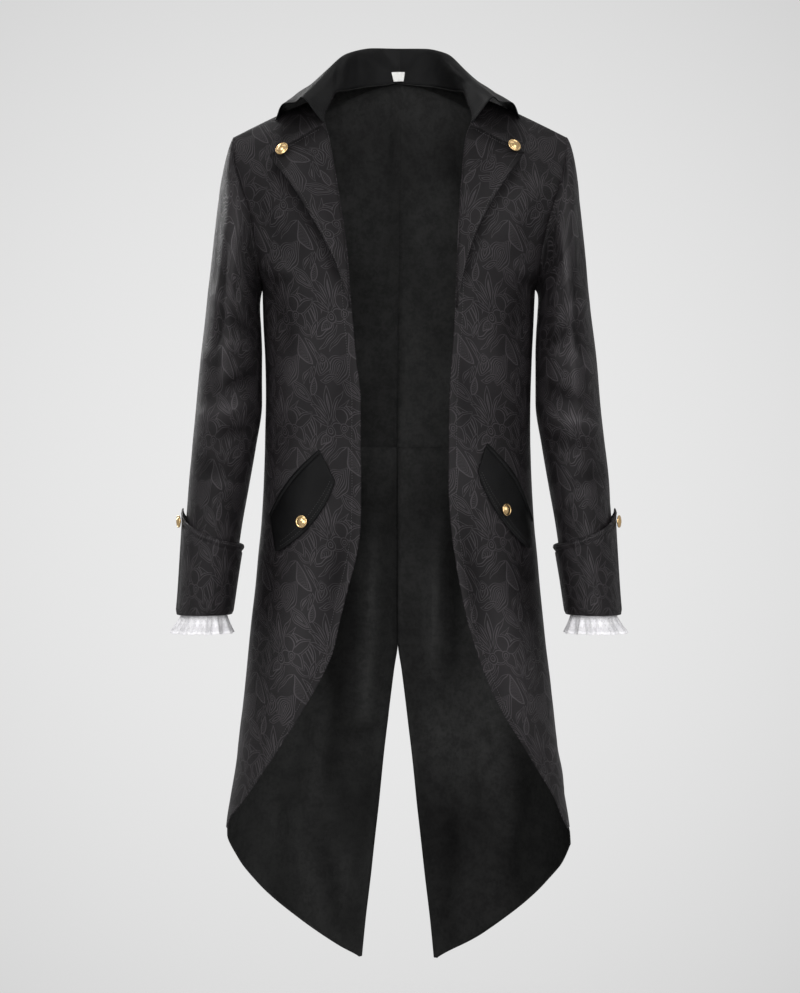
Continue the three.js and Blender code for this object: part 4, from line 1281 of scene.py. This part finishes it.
def build_lace():
    for side in SIDES:
        u, v = spread(264, 22, ring=True)
        turn = oriented(side, 1 - u)
        open_share = np.maximum(v - 0.4, 0) / 0.6
        scallop = 2.2 * np.abs(np.sin(np.pi * 26 * turn)) * smooth(0.8, 1, v)
        z = mix(LACE_TOP, LACE_BOTTOM + 2.4, v) - scallop
        wave = np.cos(2 * np.pi * LACE_WAVES * turn + 1.3 * np.sin(2 * np.pi * 3 * turn))
        frill = 3.4 * open_share * wave + 1.2 * open_share * np.cos(2 * np.pi * 27 * turn + 4 * v)
        grow = -CLOTH - LACE_INSET + LACE_FLARE * 0.8 * open_share**1.4 + frill
        grid = sleeve_at_height(side, turn, z, grow)
        uv = np.stack([u * LACE_AROUND, v * LACE_DEEP], -1)
        sewn("lace", side, grid, uv, LACE_WALL, [LACE, LACE], ring=True)


# ---------------------------------------------------------------- pockets
def build_pockets():
    for side, sign in SIDES.items():
        flap = FLAPS[side]
        u, v = spread(28, 54)
        w = 1 - oriented(side, u)
        x, z = flap_place(flap, v, w)
        corner = smooth(0.6, 1, w) * (smooth(0.6, 1, v) + 0.6 * smooth(0.6, 1, 1 - v))
        height = LIFT + CLOTH * (1 + 0.2 * w) + 1.6 * corner + 0.8 * np.sin(np.pi * w)
        grid, _ = on_front_at(side, x, z, height)
        uv = np.stack([x * sign, z], -1)
        sewn("pocket_flap", side, grid, uv, CLOTH, [SATIN, SATIN])
        out = normals(grid, False)
        for row, inset in (("", 2), ("inner_", 5)):
            edge = inset if sign > 0 else -1 - inset
            stitches(f"flap_stitches_{row}{side}", grid[2:-2, edge], out[2:-2, edge],
                     radius=0.26)
        span = math.dist(flap["freeTop"], flap["sewnTop"])
        u, v = spread(6, 54)
        w = (-SEAM - WELT_WIDTH * oriented(side, u)) / span
        x, z = flap_place(flap, v, w)
        crown = LIFT + CLOTH + 0.9 * np.sin(np.pi * u)
        grid, _ = on_front_at(side, x, z, crown)
        sewn("pocket_welt", side, grid, np.stack([x * sign, z], -1), CLOTH, [SATIN, SATIN])
        seat, up = on_front_at(side, np.array([float(flap["button"][0])]),
                               np.array([float(flap["button"][1])]),
                               np.array([LIFT + CLOTH + 1.2]))
        tilt = Vector(up[0])
        if side == "left":
            tilt = Vector((0.74, -0.66, 0.1))
        button(f"pocket_button_{side}", seat[0], tilt, SMALL_BUTTON)


# ---------------------------------------------------------------- camera, light and floor
def look_at(thing, target):
    thing.rotation_euler = (Vector(target) - thing.location).to_track_quat("-Z", "Y").to_euler()


# In metres and watts. The camera stands level with the coat's middle, as the photo's did.
CAMERA_AWAY, CAMERA_HEIGHT = 3.6, -0.5234
PICTURE_HEIGHT = 1.311    # what the picture spans at the coat
SENSOR = 24
COAT_MIDDLE = (0, 0, -0.5)
LIGHTS = [
    # name, place, target, width and height, power
    ("key", (-1.9, -2.6, 1.5), COAT_MIDDLE, (1.3, 1.9), 40),
    ("fill", (2.3, -2.4, 0.9), COAT_MIDDLE, (1.6, 2.2), 30),
    ("top", (0, 0.3, 2.6), (0, 0, 0), (2.0, 1.4), 8),
    ("front", (0, -4.2, -0.4), COAT_MIDDLE, (2.2, 2.6), 70),
    ("rim", (-1.8, 2.0, 0.8), COAT_MIDDLE, (1.0, 1.8), 35),
]


def area_light(name, place, target, size, power):
    light = bpy.data.lights.new(name, "AREA")
    light.shape = "RECTANGLE"
    light.size, light.size_y = size
    light.energy = power
    holder = bpy.data.objects.new(name, light)
    holder.location = place
    holder.visible_camera = False
    bpy.context.scene.collection.objects.link(holder)
    look_at(holder, target)


def build_camera():
    scene = bpy.context.scene
    camera = bpy.data.cameras.new("camera")
    camera.sensor_fit = "VERTICAL"
    camera.sensor_height = SENSOR
    camera.lens = SENSOR * CAMERA_AWAY / PICTURE_HEIGHT
    holder = bpy.data.objects.new("camera", camera)
    holder.location = (0, -CAMERA_AWAY, CAMERA_HEIGHT)
    holder.rotation_euler = (math.pi / 2, 0, 0)
    scene.collection.objects.link(holder)
    scene.camera = holder


def build_world():
    """A grey surround, paler behind the coat as the camera sees it at rest."""
    world = bpy.data.worlds.new("studio")
    bpy.context.scene.world = world
    world.use_nodes = True
    nodes, links = world.node_tree.nodes, world.node_tree.links
    direction = nodes.new("ShaderNodeTexCoord")
    forward = nodes.new("ShaderNodeVectorMath")
    forward.operation = "DOT_PRODUCT"
    forward.inputs[1].default_value = (-0.012, 0.9998, 0.0)
    links.new(direction.outputs["Generated"], forward.inputs[0])
    both = nodes.new("ShaderNodeMath")
    both.operation = "MULTIPLY"
    for slot, span in enumerate(((0.972, 1.0, 0.655, 0.83), (0.85, 0.96, 0.66, 1.0))):
        ramp = nodes.new("ShaderNodeMapRange")
        for name, number in zip(("From Min", "From Max", "To Min", "To Max"), span):
            ramp.inputs[name].default_value = number
        links.new(forward.outputs["Value"], ramp.inputs["Value"])
        links.new(ramp.outputs["Result"], both.inputs[slot])
    links.new(both.outputs[0], nodes["Background"].inputs["Color"])


def build_stage():
    bpy.context.scene.view_settings.view_transform = "Standard"
    build_camera()
    for light in LIGHTS:
        area_light(*light)
    build_world()
    build_floor()


FLOOR_Z = -1.32
FLOOR_RADIUS = 1.5


def build_floor():
    bpy.ops.mesh.primitive_circle_add(vertices=96, radius=FLOOR_RADIUS, fill_type="NGON",
                                      location=(0, 0, FLOOR_Z))
    floor = bpy.context.object
    floor.name = "floor"
    s = Shader("floor")
    away = s.vector("LENGTH", s.vector("MULTIPLY", s.place(), (1, 1, 0)))
    s.set(Base_Color=(0.78, 0.78, 0.78, 1), Roughness=0.9)
    s.set(Alpha=s.band(away, 0.25, FLOOR_RADIUS * 0.62, 0.85, 0))
    floor.data.materials.append(s.material)


build_stage()
build_fronts()
build_backs()
build_tails()
build_lapels()
build_collar()
build_sleeves()
build_cuffs()
build_lace()
build_pockets()
